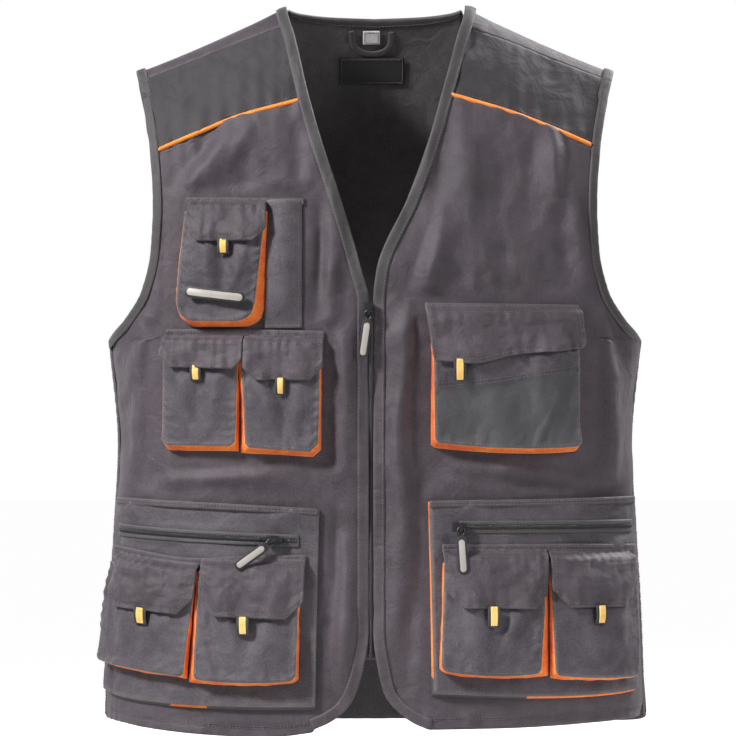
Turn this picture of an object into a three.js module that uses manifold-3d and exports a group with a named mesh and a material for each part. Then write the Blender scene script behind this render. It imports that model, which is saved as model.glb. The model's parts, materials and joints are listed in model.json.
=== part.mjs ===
// Utility work vest, worn form. Millimetres, +Z up, -Y the wearer's front, -X the wearer's right.
// The origin lies between the two neck points, on top of the shoulders.
import * as THREE from 'three';
import { mergeVertices } from 'three/addons/utils/BufferGeometryUtils.js';
import Module from 'manifold-3d';

const wasm = await Module();
wasm.setup();

// Driving sizes
const halfChest = 267;
const garmentLength = 722;
const frontDepth = 109;
const backDepth = 96;
const shoulderRoll = 150;
const foldHeight = 5;
const clothWall = 1.6;
const gussetWall = 1.3;
const layerGap = 0.7;
const seamGap = 0.4;
const bandWidth = 10.5;
const bandWall = 1.2;
const bandLift = 1;
const shoulderBandLift = 1.3;
const pipingWidth = 4;
const pipingHeight = 2.6;
const flapWall = 1.8;
const flapGap = 0.6;
const tabWall = 1.4;
const zipHeight = 12;
const chainWidth = 3.6;
const chainHeight = 1.5;
const sliderWidth = 9;
const sliderLength = 16;
const sliderHeight = 3.6;
const pullWidth = 10;
const pullLength = 47;
const pullWall = 2;
const loopTape = 5;

// The pattern is drawn on a grid of its own, and these turn its lengths into shares of the driving sizes.
const patternGrid = { halfChest: 267, length: 722, front: 109, back: 96 };
const wide = (x) => (x / patternGrid.halfChest) * halfChest;
const tall = (z) => (z / patternGrid.length) * garmentLength;
const deepFront = (y) => (y / patternGrid.front) * frontDepth;
const deepBack = (y) => (y / patternGrid.back) * backDepth;

// Sections of the body: height, half width, front depth, back depth
const bodySections = [
  [20, 275, 56, 56],
  [-60, 275, 70, 74],
  [-150, 275, 94, 96],
  [-250, 272, 107, 96],
  [-335, 267, 109, 88],
  [-440, 258, 102, 76],
  [-520, 262, 101, 78],
  [-600, 267, 104, 85],
  [-735, 272, 109, 92],
].map(([z, x, f, b]) => [tall(z), wide(x), deepFront(f), deepBack(b)]);
const sideFullness = 0.28;
const facetWidth = 24;

// Shoulder ridge: distance from the middle, height
const ridgeLine = [
  [0, 20],
  [45, 14],
  [90, 0],
  [125, -16.5],
  [175, -39],
  [225, -59.5],
  [240, -65],
  [285, -84],
].map(([x, z]) => [wide(x), tall(z)]);

// Front opening: height, edge of the wearer's right panel, edge of the left panel
const openingEdge = [
  [12, -90, 90],
  [0, -89, 90],
  [-33, -80, 82],
  [-85, -68, 68],
  [-132, -55, 55],
  [-193, -35, 33],
  [-265, -14, 2],
  [-297, -6.6, -1.4],
  [-625, -6.6, -1.4],
  [-665, -13, 4],
  [-687, -20, 10],
  [-703, -30, 22],
  [-715, -46, 38],
  [-722, -62, 54],
].map(([z, right, left]) => [tall(z), wide(right), wide(left)]);

// Armhole edge: height, distance from the middle
const armholeEdge = [
  [-62, 241],
  [-85, 235.5],
  [-115, 229],
  [-150, 224],
  [-200, 221],
  [-245, 223],
  [-285, 232],
  [-315, 250],
  [-327, 261],
  [-335, 267],
].map(([z, x]) => [tall(z), wide(x)]);
const underarm = tall(-335);

// Piped seam: distance from the middle, height on the right, height on the left
const pipedSeam = [
  [60, -92, -86],
  [95, -101, -96],
  [135, -112, -108],
  [175, -128, -123],
  [218, -146, -141],
  [240, -156, -150],
].map(([x, right, left]) => [wide(x), tall(right), tall(left)]);

// Front shoulder seam: distance from the middle, drop below the ridge
const shoulderSeam = [
  [80, 20],
  [150, 12],
  [240, 9.5],
].map(([x, drop]) => [wide(x), tall(drop)]);

// Back neckline: distance from the middle, height
const neckLine = [
  [0, -9],
  [45, -7.5],
  [75, -4.5],
  [90, -0.5],
].map(([x, z]) => [wide(x), tall(z)]);

// Front hem: distance from the middle, height on the right, height on the left
const hemLine = [
  [45, -722, -722],
  [115, -730, -721],
  [155, -728, -720],
  [225, -722, -716],
  [280, -713, -712],
].map(([x, right, left]) => [wide(x), tall(right), tall(left)]);
const hemStart = tall(-640);
const backHem = tall(-722);

// Main folds of the front: from, to, half width, height as a share of the fold height
const folds = [
  [-143, -132, -186, -186, 13, 0.9],
  [-43, -190, -42, -318, 12, 0.8],
  [-205, -185, -203, -315, 10, -0.6],
  [176, -132, 180, -200, 14, 0.8],
  [200, -190, 214, -285, 13, 0.9],
  [92, -125, 84, -250, 22, 0.9],
  [70, -195, 44, -300, 14, 0.9],
  [44, -300, 14, -345, 12, 0.7],
  [-46, -400, -24, -470, 14, 0.6],
  [28, -400, 22, -640, 16, 0.7],
  [-30, -520, -36, -680, 14, 0.7],
  [120, -462, 225, -478, 12, 0.8],
  [-90, -468, -215, -476, 12, 0.7],
].map(([x0, z0, x1, z1, w, h]) => [wide(x0), tall(z0), wide(x1), tall(z1), wide(w), h]);

// Reads a column of a table at a key, with a monotone cubic between its rows.
function read(rows, key, column) {
  const sign = rows[0][0] < rows[rows.length - 1][0] ? 1 : -1;
  let i = rows.findIndex((row) => row[0] * sign > key * sign);
  if (i === 0) return rows[0][column];
  if (i < 0) return rows[rows.length - 1][column];
  i -= 1;
  const slope = (k) => (rows[k + 1][column] - rows[k][column]) / (rows[k + 1][0] - rows[k][0]);
  const tangent = (k) => {
    if (k === 0) return slope(0);
    if (k === rows.length - 1) return slope(k - 1);
    const before = slope(k - 1);
    const after = slope(k);
    return before * after > 0 ? (2 * before * after) / (before + after) : 0;
  };
  const span = rows[i + 1][0] - rows[i][0];
  const t = (key - rows[i][0]) / span;
  const a = rows[i][column];
  const b = rows[i + 1][column];
  return (
    a + (b - a) * t * t * (3 - 2 * t)
    + span * t * (1 - t) * ((1 - t) * tangent(i) - t * tangent(i + 1))
  );
}

const mix = (a, b, t) => a + (b - a) * t;
const clamp01 = (t) => Math.min(1, Math.max(0, t));
const smooth = (t) => clamp01(t) ** 2 * (3 - 2 * clamp01(t));
const spread = (n) => Array.from({ length: n + 1 }, (_, i) => i / n);
const ridge = (x) => read(ridgeLine, Math.abs(x), 1);
const columnOf = (side) => (side < 0 ? 1 : 2);

// Boxes of the front that pockets cover, filled in from the pocket list below.
const covered = [];
const coverMargin = wide(16);
const coverReach = 7;

function foldAt(x, z) {
  let height = 0;
  for (const [x0, z0, x1, z1, width, share] of folds) {
    const dx = x1 - x0;
    const dz = z1 - z0;
    const t = clamp01(((x - x0) * dx + (z - z0) * dz) / (dx * dx + dz * dz));
    const off = Math.hypot(x - x0 - dx * t, z - z0 - dz * t) / width;
    height += share * foldHeight * Math.exp(-off * off) * (0.35 + 0.65 * Math.sin(Math.PI * t));
  }
  for (const box of covered) {
    const out = Math.max(box.left - x, x - box.right, box.low - z, z - box.high);
    height *= smooth(out / coverMargin);
  }
  return height;
}

// A point of the body's outer face: side -1 is the front, angle 0 the middle and 90 degrees the side seam.
function skin(side, angle, z, roll) {
  const half = read(bodySections, z, 1);
  const depth = read(bodySections, z, side < 0 ? 2 : 3);
  const x = half * Math.sin(angle);
  const drop = Math.max(0, ridge(x) - z) / shoulderRoll;
  const turned = roll ?? (drop < 1 ? Math.sqrt(1 - (1 - drop) ** 2) : 1);
  const fold = side < 0 ? foldAt(x, z) * turned : 0;
  const full = depth * Math.cos(angle) * (1 + sideFullness * Math.sin(angle) ** 2);
  return new THREE.Vector3(x, side * (full * turned + fold), z);
}

// A point over the shoulder: arc is the distance along the cloth from the ridge, negative in front.
function over(x, arc) {
  const turn = Math.min(Math.PI / 2, Math.abs(arc) / shoulderRoll);
  const z = ridge(x) - shoulderRoll * (1 - Math.cos(turn));
  const angle = Math.asin(Math.min(1, Math.max(-1, x / read(bodySections, z, 1))));
  return skin(arc < 0 ? -1 : 1, angle, z, Math.sin(turn));
}

const arcOf = (drop) => shoulderRoll * Math.acos(Math.max(0, 1 - Math.max(0, drop) / shoulderRoll));

// The normal of a face from small steps along its two directions, turned to point away from the body.
function normalOf(place, a, b, da, db, away) {
  const along = place(a + da, b).sub(place(a - da, b));
  const up = place(a, b + db).sub(place(a, b - db));
  const normal = along.cross(up).normalize();
  return normal.dot(away) < 0 ? normal.negate() : normal;
}

const axisPoint = (z) => new THREE.Vector3(0, 0, Math.min(z, tall(-120)));

function onSkin(side, angle, z, lift) {
  const p = skin(side, angle, z);
  const out = p.clone().sub(axisPoint(z));
  const normal = normalOf((a, b) => skin(side, a, b), angle, z, 0.004, 0.6, out);
  return p.addScaledVector(normal, lift);
}

function onShoulder(x, arc, lift) {
  const p = over(x, arc);
  const out = p.clone().sub(axisPoint(p.z));
  return p.addScaledVector(normalOf(over, x, arc, 0.4, 0.4, out), lift);
}

// A point at a given place of the front view, over the shoulder's roll or below it.
function onFront(x, z, lift) {
  const drop = ridge(x) - z;
  if (drop < shoulderRoll / 3) return onShoulder(x, -arcOf(drop), lift);
  return onSkin(-1, Math.asin(Math.max(-1, Math.min(1, x / read(bodySections, z, 1)))), z, lift);
}

// The angle at which a lifted layer shows at a given distance from the middle in the front view.
function angleFor(x, z, lift) {
  let low = -1.62;
  let high = 1.62;
  for (let i = 0; i < 30; i += 1) {
    const middle = (low + high) / 2;
    if (onSkin(-1, middle, z, lift).x < x) low = middle;
    else high = middle;
  }
  return (low + high) / 2;
}

// A closed cloth wall over a grid: place gives the inner and the outer point of each grid crossing.
function wall(us, vs, place) {
  const geometry = new THREE.BoxGeometry(1, 1, 1, us.length - 1, vs.length - 1, 1);
  const position = geometry.attributes.position;
  for (let i = 0; i < position.count; i += 1) {
    const column = Math.round((position.getX(i) + 0.5) * (us.length - 1));
    const row = Math.round((position.getY(i) + 0.5) * (vs.length - 1));
    const p = place(us[column], vs[row], position.getZ(i) > 0);
    position.setXYZ(i, p.x, p.y, p.z);
  }
  return facingOut(geometry);
}

function facingOut(geometry) {
  const index = geometry.index;
  const position = geometry.attributes.position;
  const [a, b, c] = [new THREE.Vector3(), new THREE.Vector3(), new THREE.Vector3()];
  let volume = 0;
  for (let i = 0; i < index.count; i += 3) {
    a.fromBufferAttribute(position, index.getX(i));
    b.fromBufferAttribute(position, index.getX(i + 1));
    c.fromBufferAttribute(position, index.getX(i + 2));
    volume += a.dot(b.cross(c));
  }
  if (volume < 0) {
    for (let i = 0; i < index.count; i += 3) {
      const first = index.getX(i);
      index.setX(i, index.getX(i + 1));
      index.setX(i + 1, first);
    }
  }
  geometry.computeVertexNormals();
  return geometry;
}

// Joins solids that overlap into one closed solid.
function join(geometries) {
  const solids = geometries.map((geometry) => {
    const bare = geometry.clone();
    bare.deleteAttribute('normal');
    bare.deleteAttribute('uv');
    const merged = mergeVertices(bare, 1e-4);
    return new wasm.Manifold(new wasm.Mesh({
      numProp: 3,
      vertProperties: new Float32Array(merged.attributes.position.array),
      triVerts: new Uint32Array(merged.index.array),
    }));
  });
  const mesh = solids.reduce((sum, solid) => sum.add(solid)).getMesh();
  const geometry = new THREE.BufferGeometry();
  geometry.setAttribute('position', new THREE.BufferAttribute(new Float32Array(mesh.vertProperties), 3));
  geometry.setIndex(new THREE.BufferAttribute(new Uint32Array(mesh.triVerts), 1));
  geometry.computeVertexNormals();
  return geometry;
}

// Materials
const cloth = new THREE.MeshStandardMaterial({ color: 0x57505a, roughness: 0.92 });
const yokeCloth = new THREE.MeshStandardMaterial({ color: 0x4a464b, roughness: 0.92 });
const pocketCloth = new THREE.MeshStandardMaterial({ color: 0x5b585e, roughness: 0.9 });
const lining = new THREE.MeshStandardMaterial({ color: 0x2e2b2d, roughness: 0.95 });
const orange = new THREE.MeshStandardMaterial({ color: 0xd9501f, roughness: 0.8 });
const pipe = new THREE.MeshStandardMaterial({ color: 0xe0812e, roughness: 0.7 });
const cream = new THREE.MeshStandardMaterial({ color: 0xf2dca6, roughness: 0.85 });
const darkMetal = new THREE.MeshStandardMaterial({ color: 0x2b2a2c, roughness: 0.4, metalness: 0.7 });
const pale = new THREE.MeshStandardMaterial({ color: 0xd2cecd, roughness: 0.6 });

const vest = new THREE.Group();

function add(name, geometry, material) {
  const mesh = new THREE.Mesh(geometry, material);
  mesh.name = name;
  vest.add(mesh);
  return mesh;
}

// Pockets. Corners run top left, top right, bottom left, bottom right, as seen from the front.
// Depth is the room inside at the top and at the bottom. Spread is how far the gusset reaches past the front.
const pockets = [
  {
    name: 'right_base_pocket',
    top: -494,
    bottom: -700,
    depth: [1.6, 4],
    spread: { left: 0.5, right: 1, bottom: 3 },
    fronts: [{ name: 'front', corners: [[-260, -494], [-56, -504], [-273, -685], [-60, -699]], sag: 5 }],
    columns: 14,
  },
  {
    name: 'left_base_pocket',
    top: -494,
    bottom: -692,
    depth: [1.6, 4],
    spread: { left: 4, right: 0.5, bottom: 3 },
    fronts: [{ name: 'front', corners: [[54, -496], [262, -493], [59, -686], [264, -684]], sag: 4 }],
    columns: 14,
  },
  {
    name: 'phone_pocket',
    top: -200,
    bottom: -318,
    depth: [6, 13],
    spread: { left: 2, right: 8, bottom: 6 },
    fronts: [
      {
        name: 'front',
        corners: [[-189, -208], [-109, -208], [-197, -316], [-119, -316]],
        corner: [19, 19],
        round: true,
      },
    ],
    flaps: [
      { name: 'flap', corners: [[-187, -195], [-109, -196], [-188, -237], [-108, -237]], corner: [12, 12] },
    ],
    tabs: [{ name: 'tab', corners: [[-154, -238], [-146, -238], [-154, -249], [-146, -249]] }],
  },
  {
    name: 'small_pocket',
    top: -340,
    bottom: -440,
    depth: [4, 11],
    spread: { left: 2, right: 3, bottom: 6 },
    divider: [[-135.5, -352], [-134.5, -446]],
    fronts: [
      { name: 'outer_front', corners: [[-211, -346], [-137, -346], [-213, -439], [-140, -440]], corner: [6, 4] },
      { name: 'inner_front', corners: [[-133.5, -346], [-55, -346], [-129, -441], [-57, -446]], corner: [4, 8] },
    ],
    flaps: [
      { name: 'outer_flap', corners: [[-213, -330], [-132, -330], [-213, -360], [-132, -362]], corner: [12, 8] },
      { name: 'inner_flap', corners: [[-130, -330], [-52, -331], [-130, -373], [-52, -373]], corner: [12, 12] },
    ],
    tabs: [
      { name: 'outer_tab', corners: [[-181, -361.5], [-173, -361.5], [-181, -373], [-173, -373]] },
      { name: 'inner_tab', corners: [[-97, -374], [-90, -374], [-97, -387], [-90, -387]] },
    ],
  },
  {
    name: 'chest_pocket',
    top: -304,
    bottom: -440,
    depth: [5, 11],
    spread: { left: 4, right: 2, bottom: 6 },
    fronts: [
      { name: 'front', corners: [[58, -313], [201, -313], [60, -436], [205, -440]], sag: 4, corner: [8, 8] },
    ],
    flaps: [
      { name: 'flap', corners: [[50, -299], [206, -301], [58, -355], [209, -343]], corner: [3, 3] },
    ],
    tabs: [{ name: 'tab', corners: [[79, -355.5], [88, -355], [79, -373], [88, -373]] }],
  },
  {
    name: 'right_cargo_pocket',
    on: 'right_base_pocket',
    top: -552,
    bottom: -676,
    depth: [4.5, 11],
    spread: { left: 1, right: 4, bottom: 4 },
    divider: [[-177, -560], [-186, -675]],
    fronts: [
      { name: 'outer_front', corners: [[-266, -558], [-179, -568], [-280, -655], [-191, -670]], corner: [8, 5] },
      { name: 'inner_front', corners: [[-175, -565], [-76, -565], [-180, -672], [-79, -673]], sag: 3, corner: [5, 7] },
    ],
    flaps: [
      { name: 'outer_flap', corners: [[-261, -546], [-177, -558], [-265, -600], [-182, -609]], corner: [13, 15] },
      { name: 'inner_flap', corners: [[-173.5, -553], [-70, -553], [-173, -609], [-72, -613]], corner: [15, 17] },
    ],
    tabs: [
      { name: 'outer_tab', corners: [[-236, -604.5], [-227, -605], [-236, -617], [-227, -618]] },
      { name: 'inner_tab', corners: [[-135, -612.5], [-126, -612.8], [-135, -627], [-126, -627]] },
    ],
  },
  {
    name: 'left_cargo_pocket',
    on: 'left_base_pocket',
    top: -549,
    bottom: -672,
    depth: [4.5, 11],
    spread: { left: 3, right: 1, bottom: 4 },
    divider: [[172, -552], [173, -671]],
    fronts: [
      { name: 'inner_front', corners: [[69, -557], [170, -557], [66, -663], [165, -666]], sag: 4, corner: [7, 5] },
      { name: 'outer_front', corners: [[174, -557], [262, -557], [180, -668], [264, -670]], sag: 3, corner: [5, 8] },
    ],
    flaps: [
      { name: 'inner_flap', corners: [[68, -543], [172, -543], [72, -601], [171, -602]], corner: [16, 13] },
      { name: 'outer_flap', corners: [[175, -545], [260, -545], [177, -601], [258, -601]], corner: [17, 10] },
    ],
    tabs: [
      { name: 'inner_tab', corners: [[113, -602.5], [122, -602.5], [113, -619], [122, -619]] },
      { name: 'outer_tab', corners: [[219, -602.5], [227, -602.5], [219, -617], [227, -617]] },
    ],
  },
];
const pocketNamed = (name) => pockets.find((pocket) => pocket.name === name);

for (const pocket of pockets) {
  const corners = pocket.fronts.concat(pocket.flaps ?? []).flatMap((piece) => piece.corners);
  const reach = Math.max(pocket.spread.left, pocket.spread.right, pocket.spread.bottom);
  covered.push({
    left: wide(Math.min(...corners.map(([x]) => x)) - reach - coverReach),
    right: wide(Math.max(...corners.map(([x]) => x)) + reach + coverReach),
    low: tall(Math.min(...corners.map(([, z]) => z)) - reach - coverReach),
    high: tall(Math.max(...corners.map(([, z]) => z)) + coverReach),
  });
}

// Lifts of a pocket's layers above the body's outer face, at a height
function liftOf(pocket, layer, z) {
  const under = pocket.on ? liftOf(pocketNamed(pocket.on), 'front outer', z) : 0;
  const base = under + (pocket.on ? 2 : 1) * layerGap;
  if (layer === 'base') return base;
  const down = clamp01((tall(pocket.top) - z) / (tall(pocket.top) - tall(pocket.bottom)));
  const inner = base + mix(pocket.depth[0], pocket.depth[1], down);
  return layer === 'front inner' ? inner : inner + clothWall;
}

// A patch of the front, between four corners held as angles and heights, with shaped lower corners.
function patch(piece, liftAt, grow = { left: 0, right: 0, bottom: 0 }) {
  const [topLeft, topRight, lowLeft, lowRight] = piece.corners.map(([x, z], i) => {
    const height = tall(z);
    const angle = angleFor(wide(x), height, liftAt(height));
    const step = onSkin(-1, angle + 0.01, height, 0).distanceTo(onSkin(-1, angle - 0.01, height, 0)) / 0.02;
    const sideways = (i % 2 ? grow.right : -grow.left) * (i > 1 ? 1 : 0.3);
    return [angle + sideways / step, height - (i > 1 ? grow.bottom : 0)];
  });
  const places = spread(6).map((t) => {
    const z = mix(topLeft[1], topRight[1], t);
    return onSkin(-1, mix(topLeft[0], topRight[0], t), z, liftAt(z));
  });
  const width = places.slice(1).reduce((sum, p, i) => sum + p.distanceTo(places[i]), 0);
  const [cutLeft, cutRight] = (piece.corner ?? [0, 0]).map((cut) => wide(cut));
  const raised = (distance, cut) => {
    const left = Math.max(0, cut - distance);
    return piece.round ? cut - Math.sqrt(cut * cut - left * left) : left;
  };
  const at = (u, v) => {
    const top = [mix(topLeft[0], topRight[0], u), mix(topLeft[1], topRight[1], u)];
    const low = [mix(lowLeft[0], lowRight[0], u), mix(lowLeft[1], lowRight[1], u)];
    low[1] += raised(u * width, cutLeft) + raised((1 - u) * width, cutRight);
    low[1] -= tall(piece.sag ?? 0) * 4 * u * (1 - u);
    return [mix(top[0], low[0], v), mix(top[1], low[1], v)];
  };
  const bends = piece.round ? [0, 0.12, 0.45, 1] : [0, 1];
  const inside = piece.columns ?? Math.ceil((width - cutLeft - cutRight) / facetWidth);
  const first = cutLeft / width;
  const last = 1 - cutRight / width;
  const us = [
    ...(cutLeft ? bends.slice(0, -1).map((share) => share * first) : []),
    ...spread(inside).map((t) => mix(first, last, t)),
    ...(cutRight ? bends.slice(0, -1).reverse().map((share) => 1 - share * (1 - last)) : []),
  ];
  return { at, us };
}

const frontRows = 4;

function pocketFront(pocket, piece) {
  const inner = (z) => liftOf(pocket, 'front inner', z);
  const outer = (z) => liftOf(pocket, 'front outer', z);
  const shape = patch({ ...piece, columns: pocket.columns }, outer);
  return wall(shape.us, spread(frontRows), (u, v, isOuter) => {
    const [angle, z] = shape.at(u, 1 - v);
    return onSkin(-1, angle, z, isOuter ? outer(z) : inner(z));
  });
}

// The gusset stands on the body, or on the pocket below, and meets the edges of the fronts.
function pocketGusset(pocket) {
  const outer = (z) => liftOf(pocket, 'front outer', z);
  const { left, right, bottom } = pocket.spread;
  const last = pocket.fronts.length - 1;
  const halves = pocket.fronts.map((piece, i) => {
    const grow = { left: i === 0 ? left : 0, right: i === last ? right : 0, bottom };
    const inset = (by) => ({ left: -by, right: -by, bottom: -by });
    const less = { left: grow.left - gussetWall, right: grow.right - gussetWall, bottom: bottom - gussetWall };
    const shaped = { ...piece, columns: pocket.columns };
    return {
      index: i,
      topOuter: patch(shaped, outer),
      topInner: patch(shaped, outer, inset(gussetWall)),
      baseOuter: patch(shaped, outer, grow),
      baseInner: patch(shaped, outer, less),
    };
  });
  const path = [];
  for (const half of halves) {
    const sides = spread(frontRows).slice(0, -1);
    for (const v of sides) path.push([half, 0, v]);
    for (const u of half.topOuter.us) path.push([half, u, 1]);
    for (const v of [...sides].reverse()) path.push([half, 1, v]);
  }
  const divider = (pocket.divider ?? []).map(([x, z]) => [
    angleFor(wide(x), tall(z), liftOf(pocket, 'base', tall(z))),
    tall(z),
  ]);
  const wallAngle = gussetWall / halfChest;
  const place = (index, v, isOuter) => {
    const [half, u, down] = path[index];
    const top = (isOuter ? half.topOuter : half.topInner).at(u, down);
    const base = (isOuter ? half.baseOuter : half.baseInner).at(u, down);
    const faces = half.index === 0 ? u : 1 - u;
    if (divider.length && faces > 0.5) {
      const t = (base[1] - divider[0][1]) / (divider[1][1] - divider[0][1]);
      const away = (half.index === 0 ? -1 : 1) * (isOuter ? 0.8 : 1.9) * wallAngle;
      base[0] = mix(base[0], mix(divider[0][0], divider[1][0], t) + away, smooth((faces - 0.5) / 0.5));
    }
    const z = mix(base[1], top[1], v);
    const low = liftOf(pocket, 'base', z);
    const high = liftOf(pocket, 'front inner', z) - seamGap;
    return onSkin(-1, mix(base[0], top[0], v), z, mix(low, high, v));
  };
  return wall(path.map((_, i) => i), [0, 1], place);
}

function pocketFlap(pocket, piece) {
  const outer = (z) => liftOf(pocket, 'front outer', z);
  const shape = patch(piece, (z) => outer(z) + flapGap + flapWall);
  return wall(shape.us, [0, 0.45, 0.78, 0.88, 0.94, 1], (u, v, isOuter) => {
    const [angle, z] = shape.at(u, 1 - v);
    const rise = smooth((1 - v - 0.04) / 0.14);
    const lift = mix(liftOf(pocket, 'base', z), outer(z) + flapGap, rise);
    return onSkin(-1, angle, z, lift + (isOuter ? flapWall : 0));
  });
}

function pocketTab(pocket, piece) {
  const outer = (z) => liftOf(pocket, 'front outer', z);
  const shape = patch(piece, outer);
  return wall(shape.us, [0, 1], (u, v, isOuter) => {
    const [angle, z] = shape.at(u, 1 - v);
    return onSkin(-1, angle, z, outer(z) + flapGap + (isOuter ? tabWall : 0));
  });
}

// Body panels
const panelColumns = [0, 0.05, 0.1, 0.17, 0.25, 0.33, 0.41, 0.5, 0.59, 0.68, 0.77, 0.86, 0.95, 1];
const rowShares = [0, 0.33, 0.66, 1];
const levels = [-205, -235, -262, -285, -303, -318, -328, -336, -375, -415, -455, -495, -535, -575, -612]
  .map((z) => tall(z));
const cornerLevels = [-640, -664, -686, -702, -714, -722].map((z) => tall(z));

function outerAngle(z) {
  const limit = Math.PI / 2 - seamGap / 2 / read(bodySections, z, 2);
  if (z <= underarm) return limit;
  return Math.min(limit, Math.asin(Math.min(1, read(armholeEdge, z, 1) / read(bodySections, z, 1))));
}

function innerAngle(side, z) {
  return Math.asin(read(openingEdge, z, columnOf(side)) / read(bodySections, z, 1));
}

const frontAngle = (side, u, z) => mix(innerAngle(side, z), side * outerAngle(z), u);

function frontRow(side, u, row) {
  const deep = rowShares.length - 1;
  if (row >= deep) {
    const level = [...levels, ...cornerLevels][row - deep];
    const angle = frontAngle(side, u, level);
    if (level > hemStart) return [angle, level];
    const x = Math.abs(Math.sin(angle) * read(bodySections, level, 1));
    const share = (level - hemStart) / (backHem - hemStart);
    return [angle, mix(hemStart, read(hemLine, x, columnOf(side)), share)];
  }
  let z = tall(-120);
  for (let i = 0; i < 6; i += 1) {
    const x = Math.abs(Math.sin(frontAngle(side, u, z)) * read(bodySections, z, 1));
    z = mix(read(pipedSeam, x, columnOf(side)) - seamGap / 2, levels[0], rowShares[row]);
  }
  return [frontAngle(side, u, z), z];
}

function frontPanel(side) {
  const rows = rowShares.length - 1 + levels.length + cornerLevels.length;
  return wall(panelColumns, Array.from({ length: rows }, (_, i) => i), (u, row, isOuter) => {
    const [angle, z] = frontRow(side, u, row);
    return onSkin(-1, angle, z, isOuter ? 0 : -clothWall);
  });
}

function yoke(side) {
  return wall(spread(7), spread(3), (u, v, isOuter) => {
    let z = tall(-80);
    let x = 0;
    for (let i = 0; i < 8; i += 1) {
      x = mix(Math.abs(read(openingEdge, z, columnOf(side))), read(armholeEdge, z, 1), u);
      const top = ridge(x) - read(shoulderSeam, x, 1) - seamGap;
      z = mix(top, read(pipedSeam, x, columnOf(side)) + seamGap / 2, v);
    }
    return onFront(side * x, z, isOuter ? 0 : -clothWall);
  });
}

function piping(side) {
  const start = Math.abs(read(openingEdge, tall(-98), columnOf(side)));
  const end = read(armholeEdge, tall(-145), 1);
  return wall(spread(8), [-1, -0.5, 0.5, 1], (u, v, isOuter) => {
    const x = mix(start + bandWidth + 3.5, end - bandWidth, u);
    const z = read(pipedSeam, x, columnOf(side)) + (v * pipingWidth) / 2;
    const crown = Math.abs(v) < 1 ? pipingHeight : pipingHeight * 0.45;
    return onFront(side * x, z, layerGap + (isOuter ? crown : 0));
  });
}

// The band follows the front opening from the neck point round the hem's corner.
function frontBand(side) {
  const seam = read(pipedSeam, wide(80), columnOf(side));
  const heights = [0, -9, -20, -45, -70].map((z) => tall(z))
    .concat(rowShares.map((share) => mix(seam, levels[0], share)))
    .concat(levels.slice(1), cornerLevels.slice(0, -1));
  const edge = (z) => new THREE.Vector2(read(openingEdge, z, columnOf(side)), z);
  return wall(spread(1), heights, (u, z, isOuter) => {
    const along = edge(z - 1).sub(edge(Math.min(0, z + 1))).normalize();
    const p = edge(z).addScaledVector(new THREE.Vector2(-along.y * side, along.x * side), u * bandWidth);
    const raised = shoulderBandLift * smooth((z - heights[4]) / (heights[2] - heights[4]));
    return onFront(p.x, Math.min(p.y, ridge(p.x)), bandLift + raised + (isOuter ? bandWall : 0));
  });
}

// The back panel's columns, as places along the shoulder line, and its rows up the back and over the shoulder
const neckHalf = wide(90);
const shoulderTip = wide(240);
const neckBandDrop = tall(8);
const strapColumns = [1.6, 28, 60, 92, 120, 140, 150].map((x) => neckHalf + wide(x));
const neckColumns = [0, 30, 56, 80].map((x) => wide(x)).concat(neckHalf - wide(1.4));
const backLevels = [-722, -664, -602, -540, -480, -422, -372, -336, -328, -316, -298, -272, -240, -205]
  .map((z) => tall(z));
const overShares = [0.13, 0.25, 0.36, 0.47, 0.57, 0.66, 0.75, 0.84, 0.92, 1];

// The armhole band runs from the underarm up the front, over the shoulder's tip and down the back.
function armholeBand(side) {
  const bend = [-334.6, -331.6].map((z) => tall(z));
  const [low, ...higher] = levels.filter((z) => z > underarm - 2).reverse();
  const front = [low, ...bend, ...higher, tall(-175), tall(-147), tall(-123)];
  const back = backLevels.filter((z) => z > low).reverse().concat([...bend].reverse(), low);
  const tipArc = arcOf(ridge(shoulderTip) - back[0]);
  const overBack = overShares.map((t) => mix(tipArc, backEnd(shoulderTip).arc, t));
  const steps = [
    ...front.map((z) => ({ face: -1, z })),
    { arc: -arcOf(ridge(shoulderTip) - tall(-100)) },
    ...overBack.reverse().map((arc) => ({ arc })),
    ...back.map((z) => ({ face: 1, z })),
  ];
  const edgeAngle = (z) => Math.asin(Math.min(1, read(armholeEdge, Math.max(z, underarm), 1) / read(bodySections, z, 1)));
  return wall(spread(1), steps, (u, step, isOuter) => {
    const lift = bandLift + (isOuter ? bandWall : 0);
    if (step.arc !== undefined) {
      const z = ridge(shoulderTip) - shoulderRoll * (1 - Math.cos(step.arc / shoulderRoll));
      const x = read(armholeEdge, z, 1) - u * bandWidth * 0.85;
      return onShoulder(side * x, step.arc, lift);
    }
    const { face, z } = step;
    const angle = Math.min(edgeAngle(z), Math.PI / 2 - 0.006);
    const here = skin(face, angle, z);
    const up = skin(face, edgeAngle(z + 1.5), z + 1.5).sub(skin(face, edgeAngle(z - 0.5), z - 0.5)).normalize();
    const across = skin(face, angle + 0.004, z).sub(skin(face, angle - 0.004, z)).divideScalar(0.008);
    const normal = across.clone().cross(new THREE.Vector3(0, 0, 1)).normalize();
    const inward = up.clone().cross(normal).normalize();
    if (inward.dot(new THREE.Vector3(-1, face * 0.6, -1.2)) < 0) inward.negate();
    const width = u * bandWidth * 0.85;
    const turned = angle + (inward.dot(across) / across.lengthSq()) * width;
    return onSkin(face, side * turned, here.z + inward.z * width, lift);
  });
}

function backEnd(x) {
  if (Math.abs(x) > neckHalf) return { x, arc: -(arcOf(read(shoulderSeam, Math.abs(x), 1)) - seamGap) };
  const [inner, outer] = neckColumns.slice(-2);
  const lowered = neckBandDrop * clamp01((outer - Math.abs(x)) / (outer - inner));
  return { x, arc: arcOf(ridge(x) - read(neckLine, Math.abs(x), 1)) + lowered + seamGap };
}

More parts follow.
